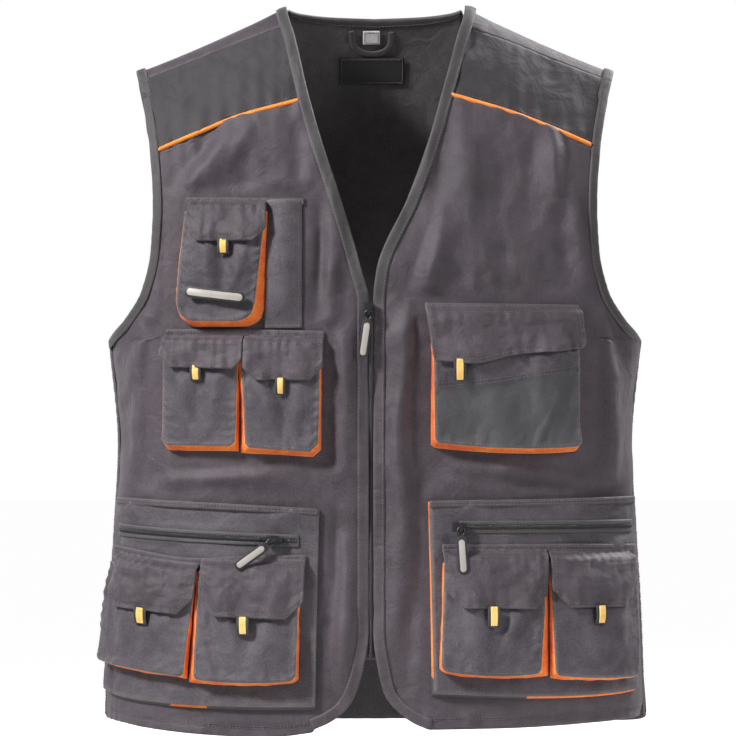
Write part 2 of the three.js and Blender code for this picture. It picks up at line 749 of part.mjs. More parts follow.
function backPanel() {
  const half = [...neckColumns, ...strapColumns];
  const columns = [...half.slice(1).reverse().map((x) => -x), ...half];
  const rows = Array.from({ length: backLevels.length + overShares.length }, (_, i) => i);
  return wall(columns, rows, (x, row, isOuter) => {
    const lift = isOuter ? 0 : -clothWall;
    const share = x / shoulderTip;
    if (row < backLevels.length) {
      const z = backLevels[row];
      const sideDrop = z <= tall(-650) ? (tall(-713) - tall(-722)) * Math.abs(share) ** 6 : 0;
      return onSkin(1, Math.sign(share) * Math.abs(share) ** 0.9 * outerAngle(z), z + sideDrop, lift);
    }
    const end = backEnd(x);
    const z = backLevels[backLevels.length - 1];
    const startX = Math.sin(Math.sign(share) * Math.abs(share) ** 0.9 * outerAngle(z)) * read(bodySections, z, 1);
    const startArc = arcOf(ridge(startX) - z);
    const t = overShares[row - backLevels.length];
    const arc = mix(startArc, end.arc, t);
    let at = mix(startX, end.x, smooth(t * 1.25));
    const level = ridge(at) - shoulderRoll * (1 - Math.cos(Math.min(Math.abs(arc) / shoulderRoll, 1.57)));
    if (Math.abs(x) > shoulderTip - 1) at = Math.sign(x) * read(armholeEdge, Math.min(level, tall(-66)), 1);
    return onShoulder(at, arc, lift);
  });
}

function backNeckBand() {
  const half = neckColumns.slice(0, -1);
  const columns = [...half.slice(1).reverse().map((x) => -x), ...half];
  return wall(columns, [0, 1], (x, v, isOuter) => {
    const top = arcOf(ridge(x) - read(neckLine, Math.abs(x), 1));
    const low = backEnd(x).arc - seamGap;
    return onShoulder(x, mix(top, low, v), isOuter ? bandLift : -clothWall - bandLift);
  });
}

// A flat piece against the inner face of the back panel, between a left, right, top and bottom
function insideBack(left, right, top, bottom, thick, columns) {
  return wall(spread(columns), spread(2), (u, v, isOuter) => {
    const x = wide(mix(left, right, u));
    const z = tall(mix(top, bottom, v));
    return onShoulder(x, arcOf(ridge(x) - z), -clothWall - layerGap - (isOuter ? 0 : thick));
  });
}

// A tape that hangs as a loop below the back neck band
function hangerLoop() {
  const route = new THREE.CatmullRomCurve3(
    [[-24, -19], [-22, -32], [-13, -40], [-3, -42], [8, -40], [16, -32], [17, -20]]
      .map(([x, z]) => new THREE.Vector3(wide(x), 0, tall(z))),
  );
  return wall([-0.5, 0.5], spread(12), (u, v, isOuter) => {
    const p = route.getPoint(v);
    const along = route.getTangent(v);
    const x = p.x + along.z * u * loopTape;
    const z = p.z - along.x * u * loopTape;
    return onShoulder(x, arcOf(ridge(x) - z), -clothWall - layerGap - (isOuter ? 0 : bandWall));
  });
}

function penPocket() {
  const [left, right, top, bottom] = [-104.5, -73, -197, -323];
  const bulge = 8;
  return wall(spread(6), spread(6), (u, v, isOuter) => {
    const z = tall(mix(bottom, top, v));
    const round = Math.sin(Math.PI * u) ** 0.7 * smooth(v / 0.25);
    const angle = mix(angleFor(wide(left), z, 1), angleFor(wide(right), z, 1), u);
    return onSkin(-1, angle, z, layerGap + bulge * round + (isOuter ? clothWall : 0));
  });
}
covered.push({ left: wide(-108), right: wide(-70), low: tall(-330), high: tall(-196) });

// Zips: a tape with its closed chain standing proud along the middle
function pocketZip(pocket, corners) {
  const outer = (z) => liftOf(pocket, 'front outer', z) + layerGap;
  const shape = patch({ corners, columns: 10 }, outer);
  const half = chainWidth / zipHeight / 2;
  return wall(shape.us, [0, 0.5 - half, 0.5 + half, 1], (u, v, isOuter) => {
    const [angle, z] = shape.at(u, 1 - v);
    const proud = isOuter && Math.abs(v - 0.5) < 2 * half ? chainHeight : 0;
    return onSkin(-1, angle, z, outer(z) + proud + (isOuter ? bandWall : 0));
  });
}

const zipTop = tall(-299);
const zipBottom = tall(-652);
const zipLine = wide(-4);

function frontZipTape() {
  return wall([-1, 0, 1], spread(11), (u, v, isOuter) => {
    const z = mix(zipTop, zipBottom, v);
    return onFront(zipLine + u * wide(11), z, -clothWall - layerGap - (isOuter ? 0 : bandWall));
  });
}

function frontZipChain() {
  return wall([-1, 1], spread(11), (u, v, isOuter) => {
    const z = mix(zipTop, zipBottom, v);
    return onFront(zipLine + (u * chainWidth) / 2, z, isOuter ? bandWall : -clothWall - seamGap / 2);
  });
}

// A slider's body, tapered to its tail, with the bail that carries the pull
const bailWidth = 3;
const bailWindow = 5.2;
const bailRoom = 3.4;
const bailBar = 1.2;

function sliderShape(bailTurn) {
  const plate = new THREE.Shape([
    new THREE.Vector2(-sliderWidth / 2, sliderLength / 2),
    new THREE.Vector2(-sliderWidth / 2, -sliderLength / 8),
    new THREE.Vector2(-sliderWidth / 3, -sliderLength / 2),
    new THREE.Vector2(sliderWidth / 3, -sliderLength / 2),
    new THREE.Vector2(sliderWidth / 2, -sliderLength / 8),
    new THREE.Vector2(sliderWidth / 2, sliderLength / 2),
  ]);
  const body = new THREE.ExtrudeGeometry(plate, { depth: sliderHeight, bevelEnabled: false });
  const long = bailWindow + 2 * bailBar;
  const feet = [1, -1].map((end) => {
    const foot = new THREE.BoxGeometry(bailWidth, bailBar, bailRoom + bailBar);
    const height = sliderHeight + (bailRoom + bailBar) / 2 - 0.3;
    foot.translate(0, (end * (bailWindow + bailBar)) / 2, height);
    return foot;
  });
  const top = new THREE.BoxGeometry(bailWidth, long, bailBar);
  top.translate(0, 0, sliderHeight + bailRoom + bailBar / 2 - 0.3);
  const bail = [...feet, top].map((piece) => piece.rotateZ(THREE.MathUtils.degToRad(bailTurn)));
  return join([body, ...bail]);
}

// The pull's bar turns inside the bail's window, and its plate has a slot that clears the bail.
function pullShape() {
  const bar = pullWall / 2;
  const half = pullWidth / 2;
  const neck = half * 0.86;
  const outline = new THREE.Shape();
  outline.moveTo(-neck, bar);
  outline.lineTo(-half, -bar * 6);
  outline.lineTo(-half, -pullLength + half * 0.6);
  outline.quadraticCurveTo(-half, -pullLength, -half * 0.4, -pullLength);
  outline.lineTo(half * 0.4, -pullLength);
  outline.quadraticCurveTo(half, -pullLength, half, -pullLength + half * 0.6);
  outline.lineTo(half, -bar * 6);
  outline.lineTo(neck, bar);
  const slot = new THREE.Path();
  const slotHalf = bailWidth / 2 + 1;
  slot.moveTo(-slotHalf, -bar);
  slot.lineTo(slotHalf, -bar);
  slot.lineTo(slotHalf, -bar - 6.5);
  slot.lineTo(-slotHalf, -bar - 6.5);
  outline.holes.push(slot);
  const plate = new THREE.ExtrudeGeometry(outline, { depth: pullWall, bevelEnabled: false, curveSegments: 4 });
  return plate.translate(0, 0, -bar);
}

// Places a slider and its pull on a zip: turn is the pull's direction in the cloth, 0 hanging down.
function hardware(name, x, z, lift, sliderTurn, pullTurn, pullTilt) {
  const foot = onFront(wide(x), tall(z), lift);
  const out = onFront(wide(x), tall(z), lift + 1).sub(foot).normalize();
  const across = new THREE.Vector3(0, 0, 1).cross(out).normalize();
  const up = out.clone().cross(across).normalize();
  const basis = new THREE.Matrix4().makeBasis(across, up, out);
  const slider = add(`${name}_slider`, sliderShape(pullTurn - sliderTurn), darkMetal);
  slider.quaternion.setFromRotationMatrix(basis);
  slider.rotateZ(THREE.MathUtils.degToRad(sliderTurn));
  slider.position.copy(foot);
  const pull = add(`${name}_pull`, pullShape(), pale);
  pull.quaternion.setFromRotationMatrix(basis);
  pull.rotateZ(THREE.MathUtils.degToRad(pullTurn));
  pull.rotateX(THREE.MathUtils.degToRad(-pullTilt));
  const axisLift = sliderHeight + bailRoom / 2 - 0.3;
  pull.position.copy(foot).addScaledVector(out, axisLift);
}

// Assembly
add('back_panel', backPanel(), cloth);
add('front_panel_right', frontPanel(-1), cloth);
add('front_panel_left', frontPanel(1), cloth);
for (const [word, side] of [['right', -1], ['left', 1]]) {
  add(`yoke_${word}`, yoke(side), yokeCloth);
  add(`piping_${word}`, piping(side), pipe);
  add(`front_band_${word}`, frontBand(side), yokeCloth);
  add(`armhole_band_${word}`, armholeBand(side), yokeCloth);
}
add('back_neck_band', backNeckBand(), lining);
add('hanger_loop', hangerLoop(), lining);
add('neck_patch', insideBack(-36, 30, -46, -72, 0.8, 3), darkMetal);
add('size_label', insideBack(-12, 5, -19, -32, 0.8, 1), pale);
add('pen_pocket', penPocket(), pocketCloth);

for (const pocket of pockets) {
  add(`${pocket.name}_gusset`, pocketGusset(pocket), orange);
  for (const piece of pocket.fronts) add(`${pocket.name}_${piece.name}`, pocketFront(pocket, piece), pocketCloth);
  for (const piece of pocket.flaps ?? []) add(`${pocket.name}_${piece.name}`, pocketFlap(pocket, piece), cloth);
  for (const piece of pocket.tabs ?? []) add(`${pocket.name}_${piece.name}`, pocketTab(pocket, piece), cream);
}
const badge = { name: 'badge', corners: [[-187, -282], [-128, -289], [-187, -293], [-128, -300]] };
add('phone_pocket_badge', pocketTab(pocketNamed('phone_pocket'), badge), pale);

const rightBase = pocketNamed('right_base_pocket');
const leftBase = pocketNamed('left_base_pocket');
const zipHalf = zipHeight / 2;
const zipRun = (x0, z0, x1, z1) => [
  [x0, z0 + zipHalf],
  [x1, z1 + zipHalf],
  [x0, z0 - zipHalf],
  [x1, z1 - zipHalf],
];
add('right_zip', pocketZip(rightBase, zipRun(-256, -525, -76, -535)), darkMetal);
add('left_zip', pocketZip(leftBase, zipRun(84, -521, 257, -521)), darkMetal);
add('front_zip_tape', frontZipTape(), yokeCloth);
add('front_zip_chain', frontZipChain(), darkMetal);

const zipTopLift = (pocket, z) => liftOf(pocket, 'front outer', tall(z)) + layerGap + bandWall + chainHeight;
hardware('front_zip', -6, -306, bandLift + bandWall + 0.4, 0, -8, 0);
hardware('right_zip', -99, -534, zipTopLift(rightBase, -534) + 0.4, 90, -54, 7);
hardware('left_zip', 84, -521, zipTopLift(leftBase, -521) + 0.4, 90, 3, 9);

export default vest;
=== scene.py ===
import json
import math
import bpy
import numpy as np
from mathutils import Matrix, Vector


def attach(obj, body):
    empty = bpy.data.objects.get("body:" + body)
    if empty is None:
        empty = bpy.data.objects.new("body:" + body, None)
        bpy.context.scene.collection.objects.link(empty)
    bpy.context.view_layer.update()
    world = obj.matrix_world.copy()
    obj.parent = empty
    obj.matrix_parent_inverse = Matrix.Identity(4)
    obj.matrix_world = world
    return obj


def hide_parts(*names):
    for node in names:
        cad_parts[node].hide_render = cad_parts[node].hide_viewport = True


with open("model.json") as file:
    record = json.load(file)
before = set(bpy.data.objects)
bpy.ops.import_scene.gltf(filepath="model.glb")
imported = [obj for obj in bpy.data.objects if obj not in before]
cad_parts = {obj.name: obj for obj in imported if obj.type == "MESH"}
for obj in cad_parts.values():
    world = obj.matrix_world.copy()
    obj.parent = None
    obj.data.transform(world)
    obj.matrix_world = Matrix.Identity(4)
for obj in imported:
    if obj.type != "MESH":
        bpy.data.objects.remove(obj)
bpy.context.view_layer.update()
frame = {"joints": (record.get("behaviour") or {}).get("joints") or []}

# Utility work vest in worn form. Shapes are worked out in millimetres and written to the meshes in metres.
mm = 0.001
garment = "garment"


# Camera: a long lens, level, square on to the front
view = dict(middle=(-7.0, -363.0), reference=-60.0, distance=6000.0, width=736.0, sensor=36.0)
cameraData = bpy.data.cameras.new("viewCamera")
cameraData.sensor_width = view["sensor"]
cameraData.lens = view["sensor"] * view["distance"] / view["width"]
cameraData.clip_end = 60.0
camera = bpy.data.objects.new("viewCamera", cameraData)
across, level = view["middle"]
camera.location = (across * mm, (view["reference"] - view["distance"]) * mm, level * mm)
camera.rotation_euler = (math.pi / 2, 0.0, 0.0)
bpy.context.collection.objects.link(camera)
bpy.context.scene.camera = camera
print("camera set")


# Number fields

def smooth(t):
    t = np.clip(t, 0.0, 1.0)
    return t * t * (3.0 - 2.0 * t)


def mix(a, b, t):
    return a + (b - a) * t


# Distance along a line at each of its points
def runOf(line):
    return np.concatenate([[0.0], np.cumsum(np.linalg.norm(np.diff(line, axis=0), axis=-1))])


# Points of a line at given distances along it
def pointsAt(line, run, at):
    return np.stack([np.interp(at, run, line[:, k]) for k in range(3)], axis=-1)


# A strip's soft crown: level across its middle, falling to nothing at both edges
def crownOf(share):
    return np.sqrt(np.clip(1 - (2 * share - 1) ** 4, 0, 1))


def sideWord(side):
    return "left" if side > 0 else "right"


# Reads a column of a table at many keys: a cubic between rows whose slopes never overshoot.
def read(rows, key, column):
    table = np.array(rows, dtype=float)
    table = table[np.argsort(table[:, 0])]
    xs, ys = table[:, 0], table[:, column]
    span = np.diff(xs)
    slope = np.diff(ys) / span
    tangent = np.empty_like(ys)
    tangent[0], tangent[-1] = slope[0], slope[-1]
    product = slope[:-1] * slope[1:]
    total = np.where(np.abs(slope[:-1] + slope[1:]) < 1e-9, 1.0, slope[:-1] + slope[1:])
    tangent[1:-1] = np.where(product > 0, 2.0 * product / total, 0.0)
    key = np.clip(key, xs[0], xs[-1])
    k = np.clip(np.searchsorted(xs, key, side="right") - 1, 0, len(xs) - 2)
    t = (key - xs[k]) / span[k]
    rise = (ys[k + 1] - ys[k]) * t * t * (3.0 - 2.0 * t)
    bend = span[k] * t * (1.0 - t) * ((1.0 - t) * tangent[k] - t * tangent[k + 1])
    return ys[k] + rise + bend


# Smooth noise between -1 and 1: hashed corner values of a unit grid, eased between corners.
def noise(x, y, seed):
    xi, yi = np.floor(x).astype(np.int64), np.floor(y).astype(np.int64)
    tx, ty = smooth(x - xi), smooth(y - yi)

    def corner(a, b):
        h = (a * 374761393 + b * 668265263 + seed * 974634777) & 0xFFFFFFFF
        h = ((h ^ (h >> 13)) * 1274126177) & 0xFFFFFFFF
        h = ((h ^ (h >> 16)) * 2246822519) & 0xFFFFFFFF
        return (h ^ (h >> 15)) / 4294967295.0 * 2.0 - 1.0

    low = mix(corner(xi, yi), corner(xi + 1, yi), tx)
    high = mix(corner(xi, yi + 1), corner(xi + 1, yi + 1), tx)
    return mix(low, high, ty)


# Sum of three octaves, each half as high and twice as fine
def layered(x, y, seed):
    coarse = noise(x, y, seed) + 0.5 * noise(2.1 * x, 2.1 * y, seed + 7)
    return coarse + 0.25 * noise(4.3 * x, 4.3 * y, seed + 13)


# Sharp-crested noise, for creases
def creased(x, y, seed):
    return 1.0 - np.abs(noise(x, y, seed)) * 2.0


# Body form: height, half width, front depth, back depth. The other tables are read by height (openings,
# armholes) or by distance from the middle (ridge, seams, neck, hem), with a column for each side.
bodyRows = [
    (20, 275, 56, 56),
    (-60, 275, 70, 74),
    (-150, 275, 94, 96),
    (-250, 272, 107, 96),
    (-335, 267, 109, 88),
    (-440, 258, 102, 76),
    (-520, 262, 101, 78),
    (-600, 267, 104, 85),
    (-735, 272, 109, 92),
]
ridgeRows = [(0, 20), (45, 14), (90, 0), (125, -16.5), (175, -39), (225, -59.5), (240, -65), (285, -84)]
openingRows = [
    (12, -90, 90),
    (0, -89, 90),
    (-33, -80, 82),
    (-85, -68, 68),
    (-132, -55, 55),
    (-193, -35, 33),
    (-265, -14, 2),
    (-297, -6.6, -1.4),
    (-625, -6.6, -1.4),
    (-665, -13, 4),
    (-687, -20, 10),
    (-703, -30, 22),
    (-715, -46, 38),
    (-722, -62, 54),
]
armholeRows = [
    (-62, 241),
    (-85, 235.5),
    (-115, 229),
    (-150, 224),
    (-200, 221),
    (-245, 223),
    (-285, 232),
    (-315, 250),
    (-327, 261),
    (-335, 267),
]
pipedRows = [
    (60, -92, -86),
    (95, -101, -96),
    (135, -112, -108),
    (175, -128, -123),
    (218, -146, -141),
    (240, -156, -150),
]
seamRows = [(80, 20), (150, 12), (240, 9.5)]
neckRows = [(0, -9), (45, -7.5), (75, -4.5), (90, -0.5)]
hemRows = [(45, -722, -722), (115, -730, -721), (155, -728, -720), (225, -722, -716), (280, -713, -712)]
form = dict(roll=150.0, fullness=0.28, wall=1.6, underarm=-335.0, hem=-722.0)
form.update(neckHalf=90.0, tip=240.0, middleTop=-120.0)
sideAngle = math.pi / 2 - 0.0015  # the panels end a hair before the side
stepAngle, stepHeight = 0.004, 0.6  # small steps that a normal is taken from


def columnOf(side):
    return 1 if side < 0 else 2


def ridge(x):
    return read(ridgeRows, np.abs(x), 1)


# Outer face: x = half width * sin(angle), y = depth * cos(angle) * fullness, rolled over at the shoulder.
def skin(side, angle, z, roll=None):
    half, depth = read(bodyRows, z, 1), read(bodyRows, z, 2 if side < 0 else 3)
    x = half * np.sin(angle)
    if roll is None:
        drop = np.clip((ridge(x) - z) / form["roll"], 0.0, 1.0)
        roll = np.sqrt(1.0 - (1.0 - drop) ** 2)
    y = side * depth * np.cos(angle) * (1.0 + form["fullness"] * np.sin(angle) ** 2) * roll
    return np.stack(np.broadcast_arrays(x, y, z), axis=-1)


# The same face over the shoulder, by the distance along the cloth from the ridge, negative in front
def over(x, arc):
    turn = np.minimum(math.pi / 2, np.abs(arc) / form["roll"])
    z = ridge(x) - form["roll"] * (1.0 - np.cos(turn))
    angle = np.arcsin(np.clip(x / read(bodyRows, z, 1), -1.0, 1.0))
    front, back = skin(-1, angle, z, np.sin(turn)), skin(1, angle, z, np.sin(turn))
    return np.where((np.asarray(arc) < 0)[..., None], front, back)


def unit(v):
    return v / np.maximum(np.linalg.norm(v, axis=-1, keepdims=True), 1e-9)


# Normals from small steps, turned away from the body's middle
def normals(place, a, b, da, db):
    cross = unit(np.cross(place(a + da, b) - place(a - da, b), place(a, b + db) - place(a, b - db)))
    p = place(a, b)
    level = np.minimum(p[..., 2], form["middleTop"])
    away = p - np.stack([np.zeros_like(level), np.zeros_like(level), level], axis=-1)
    return cross * np.sign(np.sum(cross * away, axis=-1, keepdims=True))


def onSkin(side, angle, z, lift):
    angle, z, lift = np.broadcast_arrays(angle, z, lift)
    n = normals(lambda a, b: skin(side, a, b), angle, z, stepAngle, stepHeight)
    return skin(side, angle, z) + n * lift[..., None]


def onShoulder(x, arc, lift):
    x, arc, lift = np.broadcast_arrays(x, arc, lift)
    return over(x, arc) + normals(over, x, arc, 0.4, 0.4) * lift[..., None]


def arcOf(drop):
    return form["roll"] * np.arccos(np.clip(1.0 - np.maximum(drop, 0.0) / form["roll"], 0.0, 1.0))


# A place of the front view, over the shoulder's roll or below it
def onFront(x, z, lift):
    x, z, lift = np.broadcast_arrays(x, z, lift)
    drop = ridge(x) - z
    top = onShoulder(x, -arcOf(drop), lift)
    low = onSkin(-1, np.arcsin(np.clip(x / read(bodyRows, z, 1), -1.0, 1.0)), z, lift)
    return np.where((drop < form["roll"] / 3)[..., None], top, low)


# The angle at which a lifted layer shows at x in the front view, by halving
def angleFor(x, z, lift):
    x, z, lift = np.broadcast_arrays(np.asarray(x, float), np.asarray(z, float), np.asarray(lift, float))
    low, high = np.full(x.shape, -1.62), np.full(x.shape, 1.62)
    for _ in range(24):
        middle = (low + high) / 2
        short = onSkin(-1, middle, z, lift)[..., 0] < x
        low, high = np.where(short, middle, low), np.where(short, high, middle)
    return (low + high) / 2


def edgeAngle(z):
    half = read(bodyRows, z, 1)
    angle = np.arcsin(np.clip(read(armholeRows, z, 1) / half, -1.0, 1.0))
    return np.where(z <= form["underarm"], sideAngle, np.minimum(angle, sideAngle))


# Meshes

# A closed cloth wall from its outer and inner grids, with a rounded rim. A second material is for the inner
# face, unless kindAt picks each face's material by its place.
def shell(name, outer, inner, materials, nodes=(), rimOut=0.35, body=garment, kindAt=None):
    rows, cols = outer.shape[:2]
    count = rows * cols
    index = np.arange(count).reshape(rows, cols)
    quads = np.stack([index[:-1, :-1], index[:-1, 1:], index[1:, 1:], index[1:, :-1]], axis=-1).reshape(-1, 4)
    border = np.concatenate([index[0, :], index[1:, -1], index[-1, -2::-1], index[-2:0:-1, 0]])
    flat, back = outer.reshape(-1, 3), inner.reshape(-1, 3)
    inside = np.concatenate([index[1, :], index[1:, -2], index[-2, -2::-1], index[-2:0:-1, 1]])
    thick = np.linalg.norm(flat[border] - back[border], axis=-1, keepdims=True)
    rim = (flat[border] + back[border]) / 2 + unit(flat[border] - flat[inside]) * thick * rimOut
    size = len(border)
    ring = np.arange(size) + 2 * count
    following = np.roll(border, -1)
    nextRing = np.roll(ring, -1)
    outerRim = np.stack([border, ring, nextRing, following], axis=-1)
    innerRim = np.stack([ring, border + count, following + count, nextRing], axis=-1)
    faces = np.concatenate([quads, quads[:, ::-1] + count, outerRim, innerRim])
    points = np.concatenate([flat, back, rim])
    middle = quads[len(quads) // 2]
    facing = np.cross(flat[middle[1]] - flat[middle[0]], flat[middle[3]] - flat[middle[0]])
    if np.dot(facing, flat[middle[0]] - back[middle[0]]) < 0:
        faces = faces[:, ::-1]
    u = np.concatenate([[0.0], np.cumsum(np.linalg.norm(np.diff(outer, axis=1), axis=-1).mean(axis=0))])
    v = np.concatenate([[0.0], np.cumsum(np.linalg.norm(np.diff(outer, axis=0), axis=-1).mean(axis=1))])
    grid = np.stack(np.meshgrid(u, v), axis=-1).reshape(-1, 2)
    uv = np.concatenate([grid, grid, grid[border]]) * mm
    # Paler towards each piece's edges and fully pale on its rim: partly wear, partly a painted highlight
    # where the rolled edges catch the light
    toEdge = np.minimum(grid, [u[-1], v[-1]] - grid).min(axis=-1)
    edgeWearAndHighlight = np.concatenate([np.exp(-toEdge / 2.5), np.exp(-toEdge / 2.5), np.ones(size)])
    kinds = np.zeros(len(faces), dtype=np.int32)
    if len(materials) > 1:
        kinds[len(quads):2 * len(quads)] = 1
    if kindAt is not None:
        kinds = kindAt(points[faces].mean(axis=1)).astype(np.int32)
    piece = meshPiece(name, points, faces, uv, materials, kinds, edgeWearAndHighlight, body)
    if nodes:
        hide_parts(*nodes)
    return piece


def meshPiece(name, points, faces, uv, materials, kinds=None, edgeWearAndHighlight=None, body=garment):
    mesh = bpy.data.meshes.new(name)
    corners = faces.shape[1]
    mesh.vertices.add(len(points))
    mesh.vertices.foreach_set("co", (points * mm).astype(np.float32).ravel())
    mesh.loops.add(faces.size)
    mesh.loops.foreach_set("vertex_index", faces.astype(np.int32).ravel())
    mesh.polygons.add(len(faces))
    mesh.polygons.foreach_set("loop_start", np.arange(0, faces.size, corners, dtype=np.int32))
    mesh.polygons.foreach_set("use_smooth", np.ones(len(faces), dtype=bool))
    for material in materials:
        mesh.materials.append(material)
    if kinds is not None:
        mesh.polygons.foreach_set("material_index", kinds)
    if uv is not None:
        layer = mesh.uv_layers.new(name="cut")
        layer.data.foreach_set("uv", uv[faces.ravel()].astype(np.float32).ravel())
    mesh.update(calc_edges=True)
    if edgeWearAndHighlight is not None:
        attribute = mesh.attributes.new("edgeWearAndHighlight", "FLOAT", "POINT")
        attribute.data.foreach_set("value", edgeWearAndHighlight.astype(np.float32))
    mesh.validate()
    piece = bpy.data.objects.new(name, mesh)
    bpy.context.collection.objects.link(piece)
    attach(piece, body)
    return piece


# Shader groups

def newGroup(name, inputs, outputs):
    group = bpy.data.node_groups.new(name, "ShaderNodeTree")
    for label, kind, value in inputs:
        socket = group.interface.new_socket(name=label, in_out="INPUT", socket_type=kind)
        if value is not None:
            socket.default_value = value
    for label, kind in outputs:
        group.interface.new_socket(name=label, in_out="OUTPUT", socket_type=kind)
    return group, group.nodes.new("NodeGroupInput"), group.nodes.new("NodeGroupOutput")


def mathNode(tree, operation, a, b):
    node = tree.nodes.new("ShaderNodeMath")
    node.operation = operation
    for socket, value in zip(node.inputs, (a, b)):
        if isinstance(value, (int, float)):
            socket.default_value = value
        else:
            tree.links.new(value, socket)
    return node.outputs[0]


# Twill: slanting ribs across the cut's own map, broken up by single threads
def makeTwill():
    group, source, sink = newGroup(
        "twill",
        [("Scale", "NodeSocketFloat", 520.0), ("Vector", "NodeSocketVector", None)],
        [("Height", "NodeSocketFloat"), ("Thread", "NodeSocketFloat")],
    )
    ribs = group.nodes.new("ShaderNodeTexWave")
    ribs.bands_direction = "DIAGONAL"
    ribs.inputs["Distortion"].default_value = 0.6
    ribs.inputs["Detail"].default_value = 1.0
    threads = group.nodes.new("ShaderNodeTexWave")
    threads.bands_direction = "X"
    grain = group.nodes.new("ShaderNodeTexNoise")
    grain.inputs["Detail"].default_value = 3.0
    for node, share in ((ribs, 1.0), (threads, 0.5), (grain, 1.1)):
        group.links.new(source.outputs["Vector"], node.inputs["Vector"])
        group.links.new(mathNode(group, "MULTIPLY", source.outputs["Scale"], share), node.inputs["Scale"])
    thin = mathNode(group, "ADD", mathNode(group, "MULTIPLY", threads.outputs["Fac"], 0.5), 0.5)
    weave = mathNode(group, "MULTIPLY", ribs.outputs["Fac"], thin)
    height = mathNode(group, "ADD", weave, mathNode(group, "MULTIPLY", grain.outputs["Fac"], 0.8))
    group.links.new(height, sink.inputs["Height"])
    group.links.new(grain.outputs["Fac"], sink.inputs["Thread"])
    return group


# Mottle: soft cloudy patches with finer streaks, as washed cloth shows
def makeMottle():
    group, source, sink = newGroup(
        "mottle",
        [("Scale", "NodeSocketFloat", 14.0), ("Vector", "NodeSocketVector", None)],
        [("Value", "NodeSocketFloat")],
    )
    total = None
    for share, weight, detail in ((1.0, 0.45, 2.0), (6.0, 0.3, 3.0), (34.0, 0.25, 2.0)):
        cloud = group.nodes.new("ShaderNodeTexNoise")
        cloud.inputs["Detail"].default_value = detail
        group.links.new(source.outputs["Vector"], cloud.inputs["Vector"])
        group.links.new(mathNode(group, "MULTIPLY", source.outputs["Scale"], share), cloud.inputs["Scale"])
        part = mathNode(group, "MULTIPLY", cloud.outputs["Fac"], weight)
        total = part if total is None else mathNode(group, "ADD", total, part)
    group.links.new(total, sink.inputs["Value"])
    return group


# Crumple: fine soft creases for the bump, larger than the weave
def makeCrumple():
    group, source, sink = newGroup(
        "crumple",
        [("Scale", "NodeSocketFloat", 60.0), ("Vector", "NodeSocketVector", None)],
        [("Height", "NodeSocketFloat")],
    )
    cloud = group.nodes.new("ShaderNodeTexNoise")
    cloud.inputs["Detail"].default_value = 4.0
    cloud.inputs["Roughness"].default_value = 0.55
    cloud.inputs["Distortion"].default_value = 0.8
    group.links.new(source.outputs["Vector"], cloud.inputs["Vector"])
    group.links.new(source.outputs["Scale"], cloud.inputs["Scale"])
    group.links.new(cloud.outputs["Fac"], sink.inputs["Height"])
    return group


twillGroup, mottleGroup, crumpleGroup = makeTwill(), makeMottle(), makeCrumple()


def placeGroup(tree, group, scale, vector):
    node = tree.nodes.new("ShaderNodeGroup")
    node.node_tree = group
    node.inputs["Scale"].default_value = scale
    tree.links.new(vector, node.inputs["Vector"])
    return node


# A colour between two, by a factor
def mixColour(tree, first, second, factor):
    node = tree.nodes.new("ShaderNodeMix")
    node.data_type = "RGBA"
    tree.links.new(factor, node.inputs["Factor"])
    for label, value in (("A", first), ("B", second)):
        if isinstance(value, tuple):
            node.inputs[label].default_value = (*value, 1.0)
        else:
            tree.links.new(value, node.inputs[label])
    return node.outputs["Result"]


# A bump over the normal before it
def bumpOver(tree, height, strength, distance, before=None):
    node = tree.nodes.new("ShaderNodeBump")
    node.inputs["Strength"].default_value = strength
    node.inputs["Distance"].default_value = distance
    tree.links.new(height, node.inputs["Height"])
    if before is not None:
        tree.links.new(before, node.inputs["Normal"])
    return node.outputs["Normal"]


# Cloth: twill weave, mottled colour, paler edges that are partly wear and partly a painted highlight along
# the rounded edges, fine crumple
clothLooks = dict(sheenRough=0.45, specular=0.55, mottle=14.0, crumple=48.0, low=0.36, high=0.66, thread=0.5)
clothBumps = dict(roughSpread=0.14, crumpleDeep=0.006, ribsDeep=0.0004)


